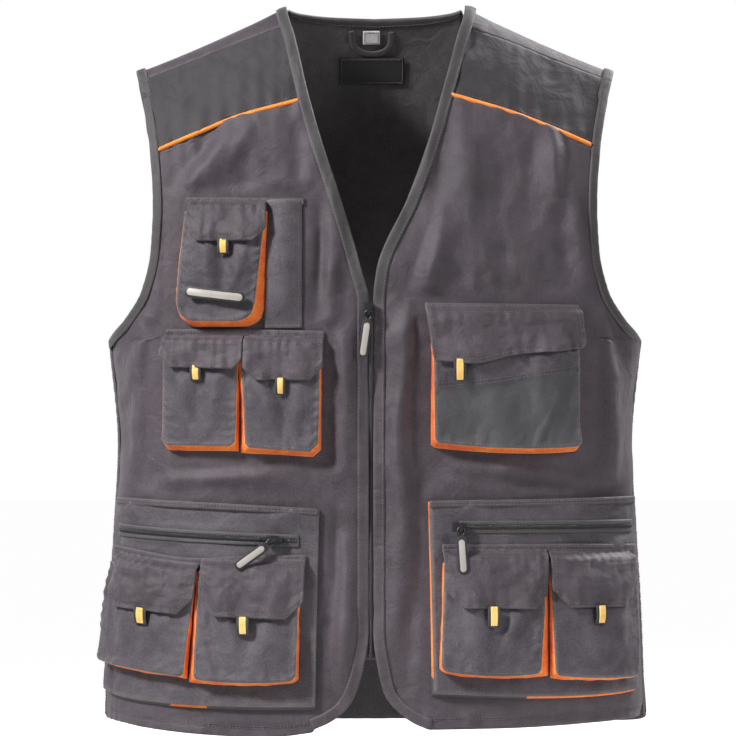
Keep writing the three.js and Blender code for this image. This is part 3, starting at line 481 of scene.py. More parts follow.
def clothMaterial(
    name, dark, light, edge, weave=520.0, ribs=0.35, crumple=0.3, rough=0.63, sheen=0.1, edgeWearAndHighlightShare=0.45
):
    material = bpy.data.materials.new(name)
    material.use_nodes = True
    tree = material.node_tree
    shader = tree.nodes["Principled BSDF"]
    shader.inputs["Sheen Weight"].default_value = sheen
    shader.inputs["Sheen Roughness"].default_value = clothLooks["sheenRough"]
    shader.inputs["Specular IOR Level"].default_value = clothLooks["specular"]
    place = tree.nodes.new("ShaderNodeTexCoord")
    cut = tree.nodes.new("ShaderNodeUVMap")
    cut.uv_map = "cut"
    twill = placeGroup(tree, twillGroup, weave, cut.outputs["UV"])
    mottle = placeGroup(tree, mottleGroup, clothLooks["mottle"], place.outputs["Object"])
    soft = placeGroup(tree, crumpleGroup, clothLooks["crumple"], place.outputs["Object"])
    ramp = tree.nodes.new("ShaderNodeMapRange")
    ramp.inputs["From Min"].default_value = clothLooks["low"]
    ramp.inputs["From Max"].default_value = clothLooks["high"]
    thread = mathNode(tree, "SUBTRACT", twill.outputs["Thread"], 0.5)
    threads = mathNode(tree, "MULTIPLY", thread, clothLooks["thread"])
    blend = mathNode(tree, "ADD", mottle.outputs["Value"], threads)
    tree.links.new(blend, ramp.inputs["Value"])
    body = mixColour(tree, dark, light, ramp.outputs["Result"])
    # The edge paling: partly wear, partly a painted highlight along the edges, made patchy by the mottle
    edgeWearAndHighlight = tree.nodes.new("ShaderNodeAttribute")
    edgeWearAndHighlight.attribute_name = "edgeWearAndHighlight"
    patchy = mathNode(tree, "MULTIPLY", edgeWearAndHighlight.outputs["Fac"], mottle.outputs["Value"])
    colour = mixColour(tree, body, edge, mathNode(tree, "MULTIPLY", patchy, edgeWearAndHighlightShare * 2.0))
    tree.links.new(colour, shader.inputs["Base Color"])
    spread = clothBumps["roughSpread"]
    uneven = mathNode(tree, "MULTIPLY", mottle.outputs["Value"], spread)
    tree.links.new(mathNode(tree, "ADD", uneven, rough - spread / 2), shader.inputs["Roughness"])
    coarse = bumpOver(tree, soft.outputs["Height"], crumple, clothBumps["crumpleDeep"])
    fine = bumpOver(tree, twill.outputs["Height"], ribs, clothBumps["ribsDeep"], coarse)
    tree.links.new(fine, shader.inputs["Normal"])
    return material


# Hard pieces: enamelled metal or moulded plastic with rubbed patches
hardLooks = dict(mottle=120.0, roughSpread=0.2)


def hardMaterial(name, base, rubbed, metallic, rough, coat=0.0):
    material = bpy.data.materials.new(name)
    material.use_nodes = True
    tree = material.node_tree
    shader = tree.nodes["Principled BSDF"]
    shader.inputs["Metallic"].default_value = metallic
    shader.inputs["Coat Weight"].default_value = coat
    place = tree.nodes.new("ShaderNodeTexCoord")
    mottle = placeGroup(tree, mottleGroup, hardLooks["mottle"], place.outputs["Object"])
    tree.links.new(mixColour(tree, base, rubbed, mottle.outputs["Value"]), shader.inputs["Base Color"])
    spread = hardLooks["roughSpread"]
    uneven = mathNode(tree, "MULTIPLY", mottle.outputs["Value"], spread)
    tree.links.new(mathNode(tree, "ADD", uneven, rough - spread / 2), shader.inputs["Roughness"])
    return material


# The third colour of each cloth is its pale edge: partly wear, partly painted highlight
bodyCloth = clothMaterial(
    "bodyTwill", (0.035, 0.026, 0.034), (0.072, 0.057, 0.071), (0.13, 0.11, 0.12), edgeWearAndHighlightShare=0.3
)
yokeCloth = clothMaterial(
    "yokeTwill", (0.020, 0.017, 0.020), (0.036, 0.031, 0.036), (0.08, 0.07, 0.08), rough=0.72, edgeWearAndHighlightShare=0.3
)
pocketCloth = clothMaterial(
    "pocketTwill", (0.033, 0.026, 0.034), (0.086, 0.074, 0.090), (0.20, 0.18, 0.18), edgeWearAndHighlightShare=0.4
)
inlayCloth = clothMaterial(
    "inlayTwill", (0.044, 0.041, 0.046), (0.068, 0.066, 0.073), (0.18, 0.18, 0.18), edgeWearAndHighlightShare=0.4
)
bandCloth = clothMaterial("bandTwill", (0.024, 0.020, 0.023), (0.043, 0.037, 0.042), (0.13, 0.12, 0.12))
liningCloth = clothMaterial(
    "lining", (0.068, 0.062, 0.065), (0.115, 0.103, 0.108), (0.07, 0.065, 0.068),
    ribs=0.12, rough=0.9, sheen=0.03, edgeWearAndHighlightShare=0.1,
)
gussetCloth = clothMaterial(
    "gussetCloth", (0.62, 0.034, 0.004), (0.98, 0.24, 0.016), (1.0, 0.46, 0.10),
    weave=700.0, rough=0.8, edgeWearAndHighlightShare=0.35,
)
pipingCloth = clothMaterial(
    "pipingCord", (0.85, 0.18, 0.012), (0.98, 0.32, 0.030), (1.0, 0.50, 0.16),
    weave=900.0, rough=0.7, edgeWearAndHighlightShare=0.1,
)
edgeCord = clothMaterial(
    "edgeCord", (0.62, 0.20, 0.07), (0.80, 0.38, 0.16), (0.9, 0.6, 0.4), weave=900.0, rough=0.75, edgeWearAndHighlightShare=0.1
)
tabCloth = clothMaterial(
    "tabWebbing", (0.80, 0.36, 0.04), (0.98, 0.66, 0.18), (1.0, 0.85, 0.45), weave=900.0, rough=0.75, edgeWearAndHighlightShare=0.3
)
# Dark tape of the tabs: partly real tape, partly painted shadow round and below each tab
darkTape = clothMaterial(
    "darkTape", (0.012, 0.011, 0.012), (0.024, 0.022, 0.023), (0.05, 0.045, 0.045), weave=900.0, edgeWearAndHighlightShare=0.3
)
labelCloth = clothMaterial(
    "labelTape", (0.66, 0.65, 0.64), (0.78, 0.77, 0.76), (0.8, 0.8, 0.8), weave=900.0, rough=0.85, edgeWearAndHighlightShare=0.1
)
threadMaterial = hardMaterial("thread", (0.10, 0.09, 0.097), (0.18, 0.16, 0.17), 0.0, 0.7)
darkMetal = hardMaterial("zipMetal", (0.03, 0.03, 0.032), (0.11, 0.11, 0.12), 0.85, 0.38)
darkRubber = hardMaterial("darkRubber", (0.012, 0.012, 0.012), (0.03, 0.03, 0.03), 0.0, 0.5)
palePlate = hardMaterial("palePlate", (0.36, 0.33, 0.30), (0.50, 0.46, 0.43), 0.15, 0.42, coat=0.2)
print("materials made")


# Copies one small shape to many places, turned to each place's own three directions
def copies(name, points, along, across, up, local, faces, material):
    spread = points[:, None] + along[:, None] * local[None, :, 0:1] + across[:, None] * local[None, :, 1:2]
    spread = spread + up[:, None] * local[None, :, 2:3]
    first = np.arange(len(points)) * len(local)
    every = (faces[None] + first[:, None, None]).reshape(-1, 4)
    return meshPiece(name, spread.reshape(-1, 3), every[:, ::-1], None, [material])


# Stitches: short spindles set along a seam, all joined into one mesh at the end
stitchSize = dict(pitch=3.4, length=2.4, width=0.62, height=0.36, sides=4, reach=0.8, proud=0.35)
stitchParts = []


# Walks a line at even steps and keeps a point, the way along it and the outward normal for each stitch.
def addStitches(line, outward, pitch=stitchSize["pitch"]):
    run = runOf(line)
    count = max(2, int(run[-1] / pitch))
    at = (np.arange(count) + 0.5) / count * run[-1]
    ahead = pointsAt(line, run, at + stitchSize["reach"])
    behind = pointsAt(line, run, at - stitchSize["reach"])
    stitchParts.append((pointsAt(line, run, at), unit(ahead - behind), unit(pointsAt(outward, run, at))))


def stitchRows(outer, inner, rows):
    for row in rows:
        addStitches(outer[row], unit(outer[row] - inner[row]))


# Each stitch is a spindle: rings of points along it, full over its middle half and narrow at both tips.
def makeStitches():
    points, along, up = [np.concatenate(column) for column in zip(*stitchParts)]
    across = unit(np.cross(along, up))
    up = unit(np.cross(across, along))
    size = stitchSize
    stations = np.array([-1.0, -0.5, 0.5, 1.0])
    radius = np.array([0.2, 1.0, 1.0, 0.2])
    sides = size["sides"]
    around = np.arange(sides) / sides * 2 * math.pi
    lengthwise = np.repeat(stations * size["length"] / 2, sides)
    sideways = np.outer(radius, np.cos(around)).ravel() * size["width"] / 2
    upward = np.outer(radius, np.sin(around)).ravel() * size["height"] + size["height"] * size["proud"]
    local = np.stack([lengthwise, sideways, upward], axis=-1)
    ring = np.arange(sides)
    following = (ring + 1) % sides
    faces = []
    for base in np.arange(len(stations) - 1) * sides:
        faces.append(base + np.stack([ring, following, sides + following, sides + ring], axis=-1))
    faces += [ring[None, ::-1], ring[None] + len(local) - sides]
    piece = copies("stitches", points, along, across, up, local, np.concatenate(faces), threadMaterial)
    print("stitches", len(points))


# Pockets, with the same places and depths as the solids: top and bottom height, depth at both, how far the
# gusset spreads left, right and down, and each piece's corners as x and z of the front view.
pockets = {
    "right_base_pocket": dict(
        top=-494, bottom=-700, depth=(1.6, 4.0), spread=(0.5, 1, 3),
        fronts=[dict(name="front", corners=[(-260, -494), (-56, -504), (-273, -685), (-60, -699)], sag=5)],
    ),
    "left_base_pocket": dict(
        top=-494, bottom=-692, depth=(1.6, 4.0), spread=(2.5, 0.5, 2.5),
        fronts=[dict(name="front", corners=[(54, -496), (262, -493), (59, -686), (264, -684)], sag=4)],
    ),
    "phone_pocket": dict(
        top=-200, bottom=-318, depth=(6, 13), spread=(2, 8, 6),
        fronts=[
            dict(
                name="front", corners=[(-189, -208), (-109, -208), (-197, -316), (-119, -316)],
                corner=(19, 19), round=True,
            ),
        ],
        flaps=[
            dict(
                name="flap",
                corners=[(-187, -195), (-109, -196), (-188, -237), (-108, -237)],
                corner=(12, 12),
            ),
        ],
        tabs=[dict(name="tab", corners=[(-154, -236), (-146, -236), (-154, -249), (-146, -249)])],
    ),
    "small_pocket": dict(
        top=-340, bottom=-440, depth=(4, 11), spread=(2, 3, 6), divider=[(-135.5, -352), (-134.5, -446)],
        fronts=[
            dict(
                name="outer_front", corners=[(-211, -346), (-137, -346), (-213, -439), (-140, -440)],
                corner=(6, 4),
            ),
            dict(
                name="inner_front", corners=[(-133.5, -346), (-55, -346), (-129, -441), (-57, -446)],
                corner=(4, 8),
            ),
        ],
        flaps=[
            dict(
                name="outer_flap", corners=[(-213, -330), (-132, -330), (-213, -360), (-132, -362)],
                corner=(12, 8),
            ),
            dict(
                name="inner_flap", corners=[(-130, -330), (-52, -331), (-130, -373), (-52, -373)],
                corner=(12, 12),
            ),
        ],
        tabs=[
            dict(name="outer_tab", corners=[(-181, -359.5), (-173, -359.5), (-181, -373), (-173, -373)]),
            dict(name="inner_tab", corners=[(-97, -372), (-90, -372), (-97, -387), (-90, -387)]),
        ],
    ),
    "chest_pocket": dict(
        top=-304, bottom=-440, depth=(5, 11), spread=(4, 2, 6),
        fronts=[
            dict(
                name="front",
                corners=[(58, -313), (201, -313), (60, -436), (205, -440)],
                sag=4,
                corner=(3, 3),
            ),
        ],
        flaps=[
            dict(
                name="flap", corners=[(50, -299), (206, -301), (58, -354), (209, -342)],
                corner=(3, 3), dip=(0.26, 5.5, 0.17),
            ),
        ],
        tabs=[dict(name="tab", corners=[(79, -353), (88, -353), (79, -373), (88, -373)])],
    ),
    "right_cargo_pocket": dict(
        on="right_base_pocket", top=-552, bottom=-676, depth=(4.5, 11), spread=(1, 2.5, 2.5),
        divider=[(-177, -560), (-186, -675)],
        fronts=[
            dict(
                name="outer_front", corners=[(-266, -558), (-179, -568), (-280, -655), (-191, -670)],
                corner=(4, 3),
            ),
            dict(
                name="inner_front", corners=[(-175, -565), (-76, -565), (-180, -672), (-79, -673)],
                sag=3, corner=(3, 4),
            ),
        ],
        flaps=[
            dict(
                name="outer_flap", corners=[(-261, -546), (-177, -558), (-265, -600), (-182, -609)],
                corner=(13, 15),
            ),
            dict(
                name="inner_flap", corners=[(-173.5, -553), (-70, -553), (-173, -609), (-72, -613)],
                corner=(15, 17),
            ),
        ],
        tabs=[
            dict(name="outer_tab", corners=[(-236, -602.5), (-227, -603), (-236, -617), (-227, -618)]),
            dict(name="inner_tab", corners=[(-135, -610.5), (-126, -610.8), (-135, -627), (-126, -627)]),
        ],
    ),
    "left_cargo_pocket": dict(
        on="left_base_pocket", top=-549, bottom=-672, depth=(4.5, 11), spread=(1.5, 1, 2),
        divider=[(172, -552), (173, -671)],
        fronts=[
            dict(
                name="inner_front", corners=[(69, -557), (170, -557), (66, -663), (165, -666)],
                sag=4, corner=(4, 3),
            ),
            dict(
                name="outer_front", corners=[(174, -557), (262, -557), (180, -668), (264, -670)],
                sag=3, corner=(3, 4),
            ),
        ],
        flaps=[
            dict(
                name="inner_flap", corners=[(68, -543), (172, -543), (72, -601), (171, -602)],
                corner=(16, 13),
            ),
            dict(
                name="outer_flap", corners=[(175, -545), (260, -545), (177, -601), (258, -601)],
                corner=(17, 10),
            ),
        ],
        tabs=[
            dict(name="inner_tab", corners=[(113, -600.5), (122, -600.5), (113, -619), (122, -619)]),
            dict(name="outer_tab", corners=[(219, -600.5), (227, -600.5), (219, -617), (227, -617)]),
        ],
    ),
}
layers = dict(gap=0.7, wall=1.6, gusset=1.3, flap=1.8, flapGap=0.6)


def liftOf(pocket, layer, z):
    under = liftOf(pockets[pocket["on"]], "outer", z) if "on" in pocket else 0.0
    base = under + (2 if "on" in pocket else 1) * layers["gap"]
    if layer == "base":
        return base + np.zeros_like(z)
    down = np.clip((pocket["top"] - z) / (pocket["top"] - pocket["bottom"]), 0.0, 1.0)
    inner = base + mix(pocket["depth"][0], pocket["depth"][1], down)
    return inner if layer == "inner" else inner + layers["wall"]


# A patch between four corners held as angles and heights: angle and height at shares across and down
def patch(piece, liftAt, grow=(0, 0, 0)):
    corners = np.array(piece["corners"], dtype=float)
    z = corners[:, 1].copy()
    angles = angleFor(corners[:, 0], z, liftAt(z))
    near = 0.01
    step = np.linalg.norm(onSkin(-1, angles + near, z, 0.0) - onSkin(-1, angles - near, z, 0.0), axis=-1)
    step = step / (2 * near)
    reach = np.array([-grow[0] * 0.3, grow[1] * 0.3, -grow[0], grow[1]])
    angles = angles + reach / step
    z[2:] -= grow[2]
    topHeights = np.linspace(z[0], z[1], 7)
    topLine = onSkin(-1, np.linspace(angles[0], angles[1], 7), topHeights, liftAt(topHeights))
    width = np.linalg.norm(np.diff(topLine, axis=0), axis=-1).sum()
    cuts = piece.get("corner", (0.001, 0.001))

    def raised(distance, cut):
        left = np.clip(cut - distance, 0.0, cut)
        return cut - np.sqrt(cut * cut - left * left) if piece.get("round") else left

    def at(u, v):
        top = mix(angles[0], angles[1], u), mix(z[0], z[1], u)
        low = mix(angles[2], angles[3], u), mix(z[2], z[3], u)
        lowZ = low[1] + raised(u * width, cuts[0]) + raised((1 - u) * width, cuts[1])
        lowZ = lowZ - piece.get("sag", 0) * 4 * u * (1 - u)
        if "dip" in piece:
            middle, deep, reach = piece["dip"]
            lowZ = lowZ - deep * np.exp(-(((u - middle) / reach) ** 2))
        return mix(top[0], low[0], v), mix(top[1], lowZ, v)

    height = abs(z[0] - z[2])
    return at, width, height


def gridOf(width, height, step):
    cols, rows = max(3, int(width / step) + 1), max(3, int(height / step) + 1)
    return np.meshgrid(np.linspace(0, 1, cols), np.linspace(0, 1, rows))


# Boxes that the pockets cover, as left, right, low and high: the panel below them stays level
coverMargin = dict(side=8, below=10, above=4)
coverBoxes = []
for pocket in pockets.values():
    covering = pocket["fronts"] + pocket.get("flaps", [])
    spots = np.array([spot for part in covering for spot in part["corners"]])
    left, low = spots.min(axis=0) - (coverMargin["side"], coverMargin["below"])
    right, high = spots.max(axis=0) + (coverMargin["side"], coverMargin["above"])
    coverBoxes.append((left, right, low, high))
penCover = (-111, -68, -330, -192)
coverBoxes.append(penCover)


# Folds of the front: x and z where each starts, x and z where it ends, half width, height before scaling
folds = [
    (-143, -132, -186, -186, 11, 3.6),
    (-160, -128, -200, -175, 9, -2.0),
    (-43, -185, -42, -318, 10, 3.4),
    (-58, -200, -56, -300, 8, -1.8),
    (-205, -185, -203, -315, 8, -3.0),
    (-222, -200, -216, -300, 9, 2.2),
    (176, -132, 180, -195, 10, 3.2),
    (150, -128, 160, -190, 12, -1.6),
    (200, -190, 214, -285, 10, 3.6),
    (185, -185, 192, -280, 10, -1.6),
    (92, -125, 84, -250, 17, 3.4),
    (120, -135, 118, -250, 15, -1.4),
    (70, -195, 44, -300, 11, 3.6),
    (44, -300, 14, -345, 9, 3.0),
    (48, -300, 26, -366, 8, 2.0),
    (58, -210, 34, -290, 8, -1.6),
    (-46, -400, -24, -470, 10, 2.4),
    (28, -400, 22, -640, 12, 3.6),
    (30, -345, 18, -470, 9, 3.2),
    (58, -326, 30, -430, 9, -2.4),
    (36, -500, 44, -640, 8, 2.4),
    (-30, -330, -24, -420, 8, 2.8),
    (-48, -470, -38, -600, 9, -2.2),
    (-24, -560, -30, -690, 8, 2.2),
    (60, -100, 46, -200, 10, 2.2),
    (-120, -118, -150, -170, 9, 2.4),
    (-80, -112, -74, -180, 10, -2.0),
    (222, -300, 238, -380, 10, 3.0),
    (-226, -300, -240, -380, 9, 2.6),
    (40, -470, 38, -640, 9, -1.4),
    (-26, -500, -36, -680, 10, 2.8),
    (-44, -520, -48, -690, 7, -1.2),
    (120, -462, 225, -478, 9, 2.4),
    (80, -470, 190, -486, 6, -1.4),
    (-90, -468, -215, -476, 8, 2.4),
    (-100, -456, -200, -462, 6, -1.2),
    (-228, -370, -244, -470, 10, 2.2),
    (232, -350, 236, -470, 10, 2.2),
]


foldSettings = dict(tall=2.3, swell=4.2, crease=0.8, fade=15.0)


# Height of the wrinkles on the front: folds along lines, soft swells and fine creases, level below pockets
def frontWrinkles(x, z):
    height = np.zeros(np.broadcast(x, z).shape)
    for x0, z0, x1, z1, width, tall in folds:
        tall = tall * foldSettings["tall"]
        dx, dz = x1 - x0, z1 - z0
        t = np.clip(((x - x0) * dx + (z - z0) * dz) / (dx * dx + dz * dz), 0.0, 1.0)
        sway = 2.5 * noise(z / 34.0, x0 / 11.0 + np.zeros_like(z), 5)
        off = np.hypot(x - x0 - dx * t + sway, z - z0 - dz * t) / width
        height += tall * np.exp(-off * off) * (0.25 + 0.75 * np.sin(math.pi * t))
    height += foldSettings["swell"] * layered(x / 46.0, z / 90.0, 11)
    fine = creased(x / 21.0 + 0.4 * noise(x / 40.0, z / 60.0, 3), z / 48.0, 21)
    height += foldSettings["crease"] * fine * smooth(layered(x / 60.0, z / 80.0, 31) + 0.3)
    for left, right, low, high in coverBoxes:
        out = np.maximum(np.maximum(left - x, x - right), np.maximum(low - z, z - high))
        height = height * smooth(out / foldSettings["fade"])
    return height


# Height of the wrinkles on the back: over the shoulder blades, at the waist and down the lower part
def backWrinkles(x, z):
    height = 1.6 * layered(x / 75.0, z / 150.0, 41) + 0.7 * layered(x / 36.0, z / 90.0, 43)
    blades = np.exp(-(((np.abs(x) - 118.0) / 30.0) ** 2) - ((z + 175.0) / 70.0) ** 2)
    waist = np.exp(-(((z + 455.0) / 60.0) ** 2)) * layered(x / 70.0 + z / 120.0, z / 30.0, 47)
    length = layered(x / 30.0, z / 190.0, 49) * smooth((-430.0 - z) / 120.0)
    drape = np.exp(-(((np.abs(x) - 150.0 + z * 0.12) / 11.0) ** 2))
    drape = drape * smooth((-200.0 - z) / 90.0) * smooth((z + 560.0) / 90.0)
    return (height + 2.2 * blades + 2.0 * waist + 2.0 * length + 2.4 * drape) * 1.4


# Puckers run across a seam: waves along it that die away with the distance from it
def puckers(along, distance, wave, tall, reach, seed):
    ripple = np.sin(along / wave * 2 * math.pi + 2.2 * noise(along / (wave * 2.3), along * 0.0, seed))
    patchy = 0.55 + 0.45 * noise(along / (wave * 4.0), along * 0.0 + 3.0, seed + 1)
    return tall * ripple * patchy * np.exp(-distance / reach)


# A stitched line pulls the cloth in: a narrow groove with a small roll beside it
def groove(distance, tall=0.45, width=1.2):
    roll = np.exp(-(((np.abs(distance) - 2.6) / 1.5) ** 2))
    return -tall * np.exp(-((distance / width) ** 2)) + 0.35 * tall * roll


# Front panels
panelSettings = dict(step=3.0, wide=385, tall=632, wall=1.6, hemStitch=9.0, stitchGap=1.8, fade=15.0)


def frontPanel(side):
    column = columnOf(side)
    s = panelSettings
    cols, rows = int(s["wide"] / s["step"]), int(s["tall"] / s["step"])
    u, v = np.meshgrid(np.linspace(0, 1, cols) ** 0.93, np.linspace(0, 1, rows))

    def angleAt(z):
        inner = np.arcsin(read(openingRows, z, column) / read(bodyRows, z, 1))
        return mix(inner, side * edgeAngle(z), u)

    top = np.full(u.shape, -120.0)
    for _ in range(8):
        top = read(pipedRows, np.abs(np.sin(angleAt(top)) * read(bodyRows, top, 1)), column) - 0.2
    low = np.full(u.shape, form["hem"])
    low = read(hemRows, np.abs(np.sin(angleAt(low)) * read(bodyRows, low, 1)), column)
    z = mix(top, low, v)
    angle = angleAt(z)
    x = np.sin(angle) * read(bodyRows, z, 1)
    around = angle * 150.0
    height = frontWrinkles(x, z)
    height += puckers(around, top - z, 11.0, 0.8, 10.0, 51)
    height += puckers(around, z - low, 13.0, 0.9, 12.0, 53) + groove(z - low - s["hemStitch"])
    fromEdge = np.where(z > form["underarm"], side * (side * edgeAngle(z) - angle) * 130.0, 60.0)
    height = height * (1.0 - np.exp(-((fromEdge / s["fade"]) ** 2)))
    height = height + puckers(z, fromEdge, 12.0, 0.5, 9.0, 55)
    fromOpening = np.abs(x - read(openingRows, z, column))
    height += puckers(z, fromOpening, 15.0, 0.6, 12.0, 57)
    outer = onSkin(-1, angle, z, height)
    inner = onSkin(-1, angle, z, height - s["wall"])
    word = sideWord(side)
    cloths = [bodyCloth, liningCloth]
    shell("frontPanel" + word.title(), outer, inner, cloths, ["front_panel_" + word])
    for off in (s["hemStitch"], s["hemStitch"] + s["stitchGap"]):
        hx = np.linspace(62 if side < 0 else 54, 268, 120) * side
        hz = read(hemRows, np.abs(hx), column) + off
        line = onFront(hx, hz, frontWrinkles(hx, hz) + 0.05)
        addStitches(line, normalsAt(hx, hz))


def normalsAt(x, z):
    return unit(onFront(x, z, 1.0) - onFront(x, z, 0.0))


for side in (-1, 1):
    frontPanel(side)
print("front panels made")


# Yokes over the front shoulder, gathered a little along the piped seam
yokeSettings = dict(step=2.6, wide=165, tall=84, gathers=1.5)


def yoke(side):
    column = columnOf(side)
    s = yokeSettings
    cols, rows = int(s["wide"] / s["step"]), int(s["tall"] / s["step"])
    u, v = np.meshgrid(np.linspace(0, 1, cols), np.linspace(0, 1, rows))
    z = np.full(u.shape, -80.0)
    for _ in range(10):
        x = mix(np.abs(read(openingRows, z, column)), read(armholeRows, z, 1), u)
        z = mix(ridge(x) - read(seamRows, x, 1) - 0.4, read(pipedRows, x, column) + 0.2, v)
    height = 1.6 * layered(x / 34.0, z / 30.0, 61 + column)
    height = height + 0.25 * creased(x / 16.0, (z + x * 0.3) / 34.0, 63 + column)
    height += puckers(x, (1 - v) * 80.0, 17.0, s["gathers"], 22.0, 65 + column)
    height += puckers(x, v * 80.0, 12.0, 0.7, 9.0, 67)
    height *= smooth(v * 14.0) * 0.7 + 0.3
    outer = onFront(side * x, z, height)
    inner = onFront(side * x, z, height - panelSettings["wall"])
    word = sideWord(side)
    shell("yoke" + word.title(), outer, inner, [yokeCloth, liningCloth], ["yoke_" + word])


# Piping: a cord of orange cloth in the yoke seam, a half round raised over a flat edge
pipingSettings = dict(width=4.2, crown=2.5, step=2.0, twist=0.12, twistLength=1.6)


def piping(side):
    column = columnOf(side)
    start = abs(float(read(openingRows, np.array(-98.0), column))) + 12.0
    end = float(read(armholeRows, np.array(-145.0), 1)) - 9.5
    s = pipingSettings
    u, v = np.meshgrid(np.linspace(start, end, int((end - start) / s["step"])), np.linspace(-1, 1, 9))
    z = read(pipedRows, u, column) + v * s["width"] / 2
    crown = np.sqrt(np.clip(1.0 - v * v, 0.0, 1.0)) * s["crown"]
    crown = crown + s["twist"] * np.sin(u / s["twistLength"] * 2 * math.pi) * (1 - v * v)
    outer = onFront(side * u, z, 0.75 + crown)
    inner = onFront(side * u, z, 0.65 + 0.0 * crown)
    word = sideWord(side)
    shell("piping" + word.title(), outer, inner, [pipingCloth], ["piping_" + word])
    for off in (-5.2, 5.0):
        x = np.linspace(start - 3, end + 2, 140)
        line = onFront(side * x, read(pipedRows, x, column) + off, 0.5)
        addStitches(line, normalsAt(side * x, read(pipedRows, x, column) + off))


# Bands: folded strips with a soft crown, along the opening and round the armholes
bandSettings = dict(width=10.5, wall=1.2, lift=1.0, shoulderLift=1.3, armholeWidth=8.9, plainBelow=-300.0)


def frontBand(side):
    column = columnOf(side)
    z = np.concatenate([np.linspace(0, -640, 300), np.linspace(-642, -721.5, 66)])
    edgeX = read(openingRows, z, column)
    edge = np.stack([edgeX, z], axis=-1)
    along = np.gradient(edge, axis=0)
    along = along / np.linalg.norm(along, axis=-1, keepdims=True)
    across = np.stack([-along[:, 1] * side, along[:, 0] * side], axis=-1)
    share = np.linspace(0, 1, 9)[:, None]
    x = edge[None, :, 0] + across[None, :, 0] * share * bandSettings["width"]
    height = np.minimum(edge[None, :, 1] + across[None, :, 1] * share * bandSettings["width"], ridge(x))
    run = runOf(edge)[None, :] + 0.0 * share
    crown = 0.55 * crownOf(share) - 0.35 * np.exp(-(((share - 0.86) * 10.5 / 0.9) ** 2))
    raised = bandSettings["shoulderLift"] * smooth((height + 70.0) / 50.0)
    wave = puckers(run, share * 6.0, 9.0, 0.35, 9.0, 71) + frontWrinkles(x, height) * 0.9
    lift = bandSettings["lift"] + raised
    outer = onFront(x, height, lift + bandSettings["wall"] - 0.6 + crown * 0.6 + wave)
    inner = onFront(x, height, lift - 0.5 + wave)
    word = sideWord(side)

    def kindAt(middles):
        return (middles[:, 2] < bandSettings["plainBelow"]).astype(int)

    shell(
        "frontBand" + word.title(), outer, inner, [bandCloth, bodyCloth],
        ["front_band_" + word], kindAt=kindAt,
    )
    stitchRows(outer, inner, [7])


def armholeBand(side):
    sweep = np.linspace(0, 1, 60) ** 1.7
    front = mix(-334.9, -98.0, sweep)
    reach = float(arcOf(ridge(np.array(form["tip"])) + 98.0))
    arcs = np.linspace(-reach, reach, 34)[1:-1]
    share = np.linspace(0, 1, 8)[:, None]
    width = share * bandSettings["armholeWidth"]

    def lower(face, z):
        angle = edgeAngle(z)
        here = skin(face, angle, z)
        n = normals(lambda a, b: skin(face, a, b), angle, z, stepAngle, stepHeight)
        along = unit(np.gradient(here, axis=0))
        inward = unit(np.cross(along, n))
        inward = inward * np.sign(np.sum(inward * np.array([-1.0, face * 0.6, -1.2]), axis=-1, keepdims=True))
        step = (skin(face, angle + stepAngle, z) - skin(face, angle - stepAngle, z)) / (2 * stepAngle)
        turn = np.sum(inward * step, axis=-1) / np.sum(step * step, axis=-1)
        return angle[None] + turn[None] * width, z[None] + inward[None, :, 2] * width

    pieces = []
    for face, levels in ((-1, front), (1, front[::-1])):
        angle, z = lower(face, levels)
        pieces.append((face, angle, z))
    tipZ = ridge(np.array(form["tip"])) - form["roll"] * (1 - np.cos(np.abs(arcs) / form["roll"]))
    tipX = read(armholeRows, tipZ, 1)[None] - width

    def layer(lift):
        (front, frontAngle, frontZ), (back, backAngle, backZ) = pieces
        return np.concatenate([
            onSkin(front, side * frontAngle, frontZ, lift),
            onShoulder(side * tipX, arcs[None] + 0.0 * tipX, lift),
            onSkin(back, side * backAngle, backZ, lift),
        ], axis=1)

    crown = 0.5 * crownOf(share) - 0.3 * np.exp(-(((share - 0.85) * 9 / 0.9) ** 2))
    base = layer(np.array(0.0))
    run = runOf(base[0])[None] + 0.0 * share
    wave = puckers(run, share * 6.0, 8.0, 0.4, 9.0, 73)
    normal = unit(layer(np.array(1.0)) - base)
    lift = bandSettings["lift"]
    outer = base + normal * (lift + bandSettings["wall"] - 0.4 + crown + wave)[..., None]
    inner = base + normal * (lift - 0.55 + wave)[..., None]
    word = sideWord(side)
    shell("armholeBand" + word.title(), outer, inner, [bandCloth], ["armhole_band_" + word])
    addStitches(outer[6], normal[6])


for side in (-1, 1):
    yoke(side)
    piping(side)
    frontBand(side)
    armholeBand(side)
print("yokes, piping and bands made")


# Back: one panel from the hem over the shoulders to the front seams, lined dark. Its lower rows lie level up
# to the height turn, the upper ones run on over the shoulder, level again at the arc common.
backSettings = dict(
    step=3.9, hemStitch=9.0, stitchGap=1.8, hemRise=9.0,
    yokeSeam=-128.0, neckDrop=8.0, turn=-205.0, common=140.0,
)
neckBandSettings = dict(lift=1.0, inner=2.6, width=11.5)


def backEnd(x):
    near = np.abs(x)
    fade = np.clip((88.6 - near) / 8.6, 0.0, 1.0)
    neck = arcOf(ridge(x) - read(neckRows, near, 1)) + backSettings["neckDrop"] * fade + 0.4
    front = -(arcOf(read(seamRows, near, 1)) - 0.4)
    return np.where(near > form["neckHalf"], front, neck)


def backYokeLine(x):
    return backSettings["yokeSeam"] - 12.0 * (x / 240.0) ** 2


# The back yoke's lower edge: a folded strip stitched twice, right across
def backYokeSeam():
    u, v = np.meshgrid(np.linspace(-219.0, 219.0, 200), np.linspace(0, 1, 8))
    z = backYokeLine(u) - v * 9.0
    angle = np.arcsin(u / read(bodyRows, z, 1))
    lift = backWrinkles(u, z) + 1.1 + puckers(u, v * 5.0, 16.0, 0.5, 14.0, 87)
    outer, inner = onSkin(1, angle, z, lift + 0.35 * crownOf(v) + 0.4), onSkin(1, angle, z, lift - 1.0)
    shell("backYokeSeam", outer, inner, [bodyCloth], rimOut=0.4)
    stitchRows(outer, inner, (2, 5))


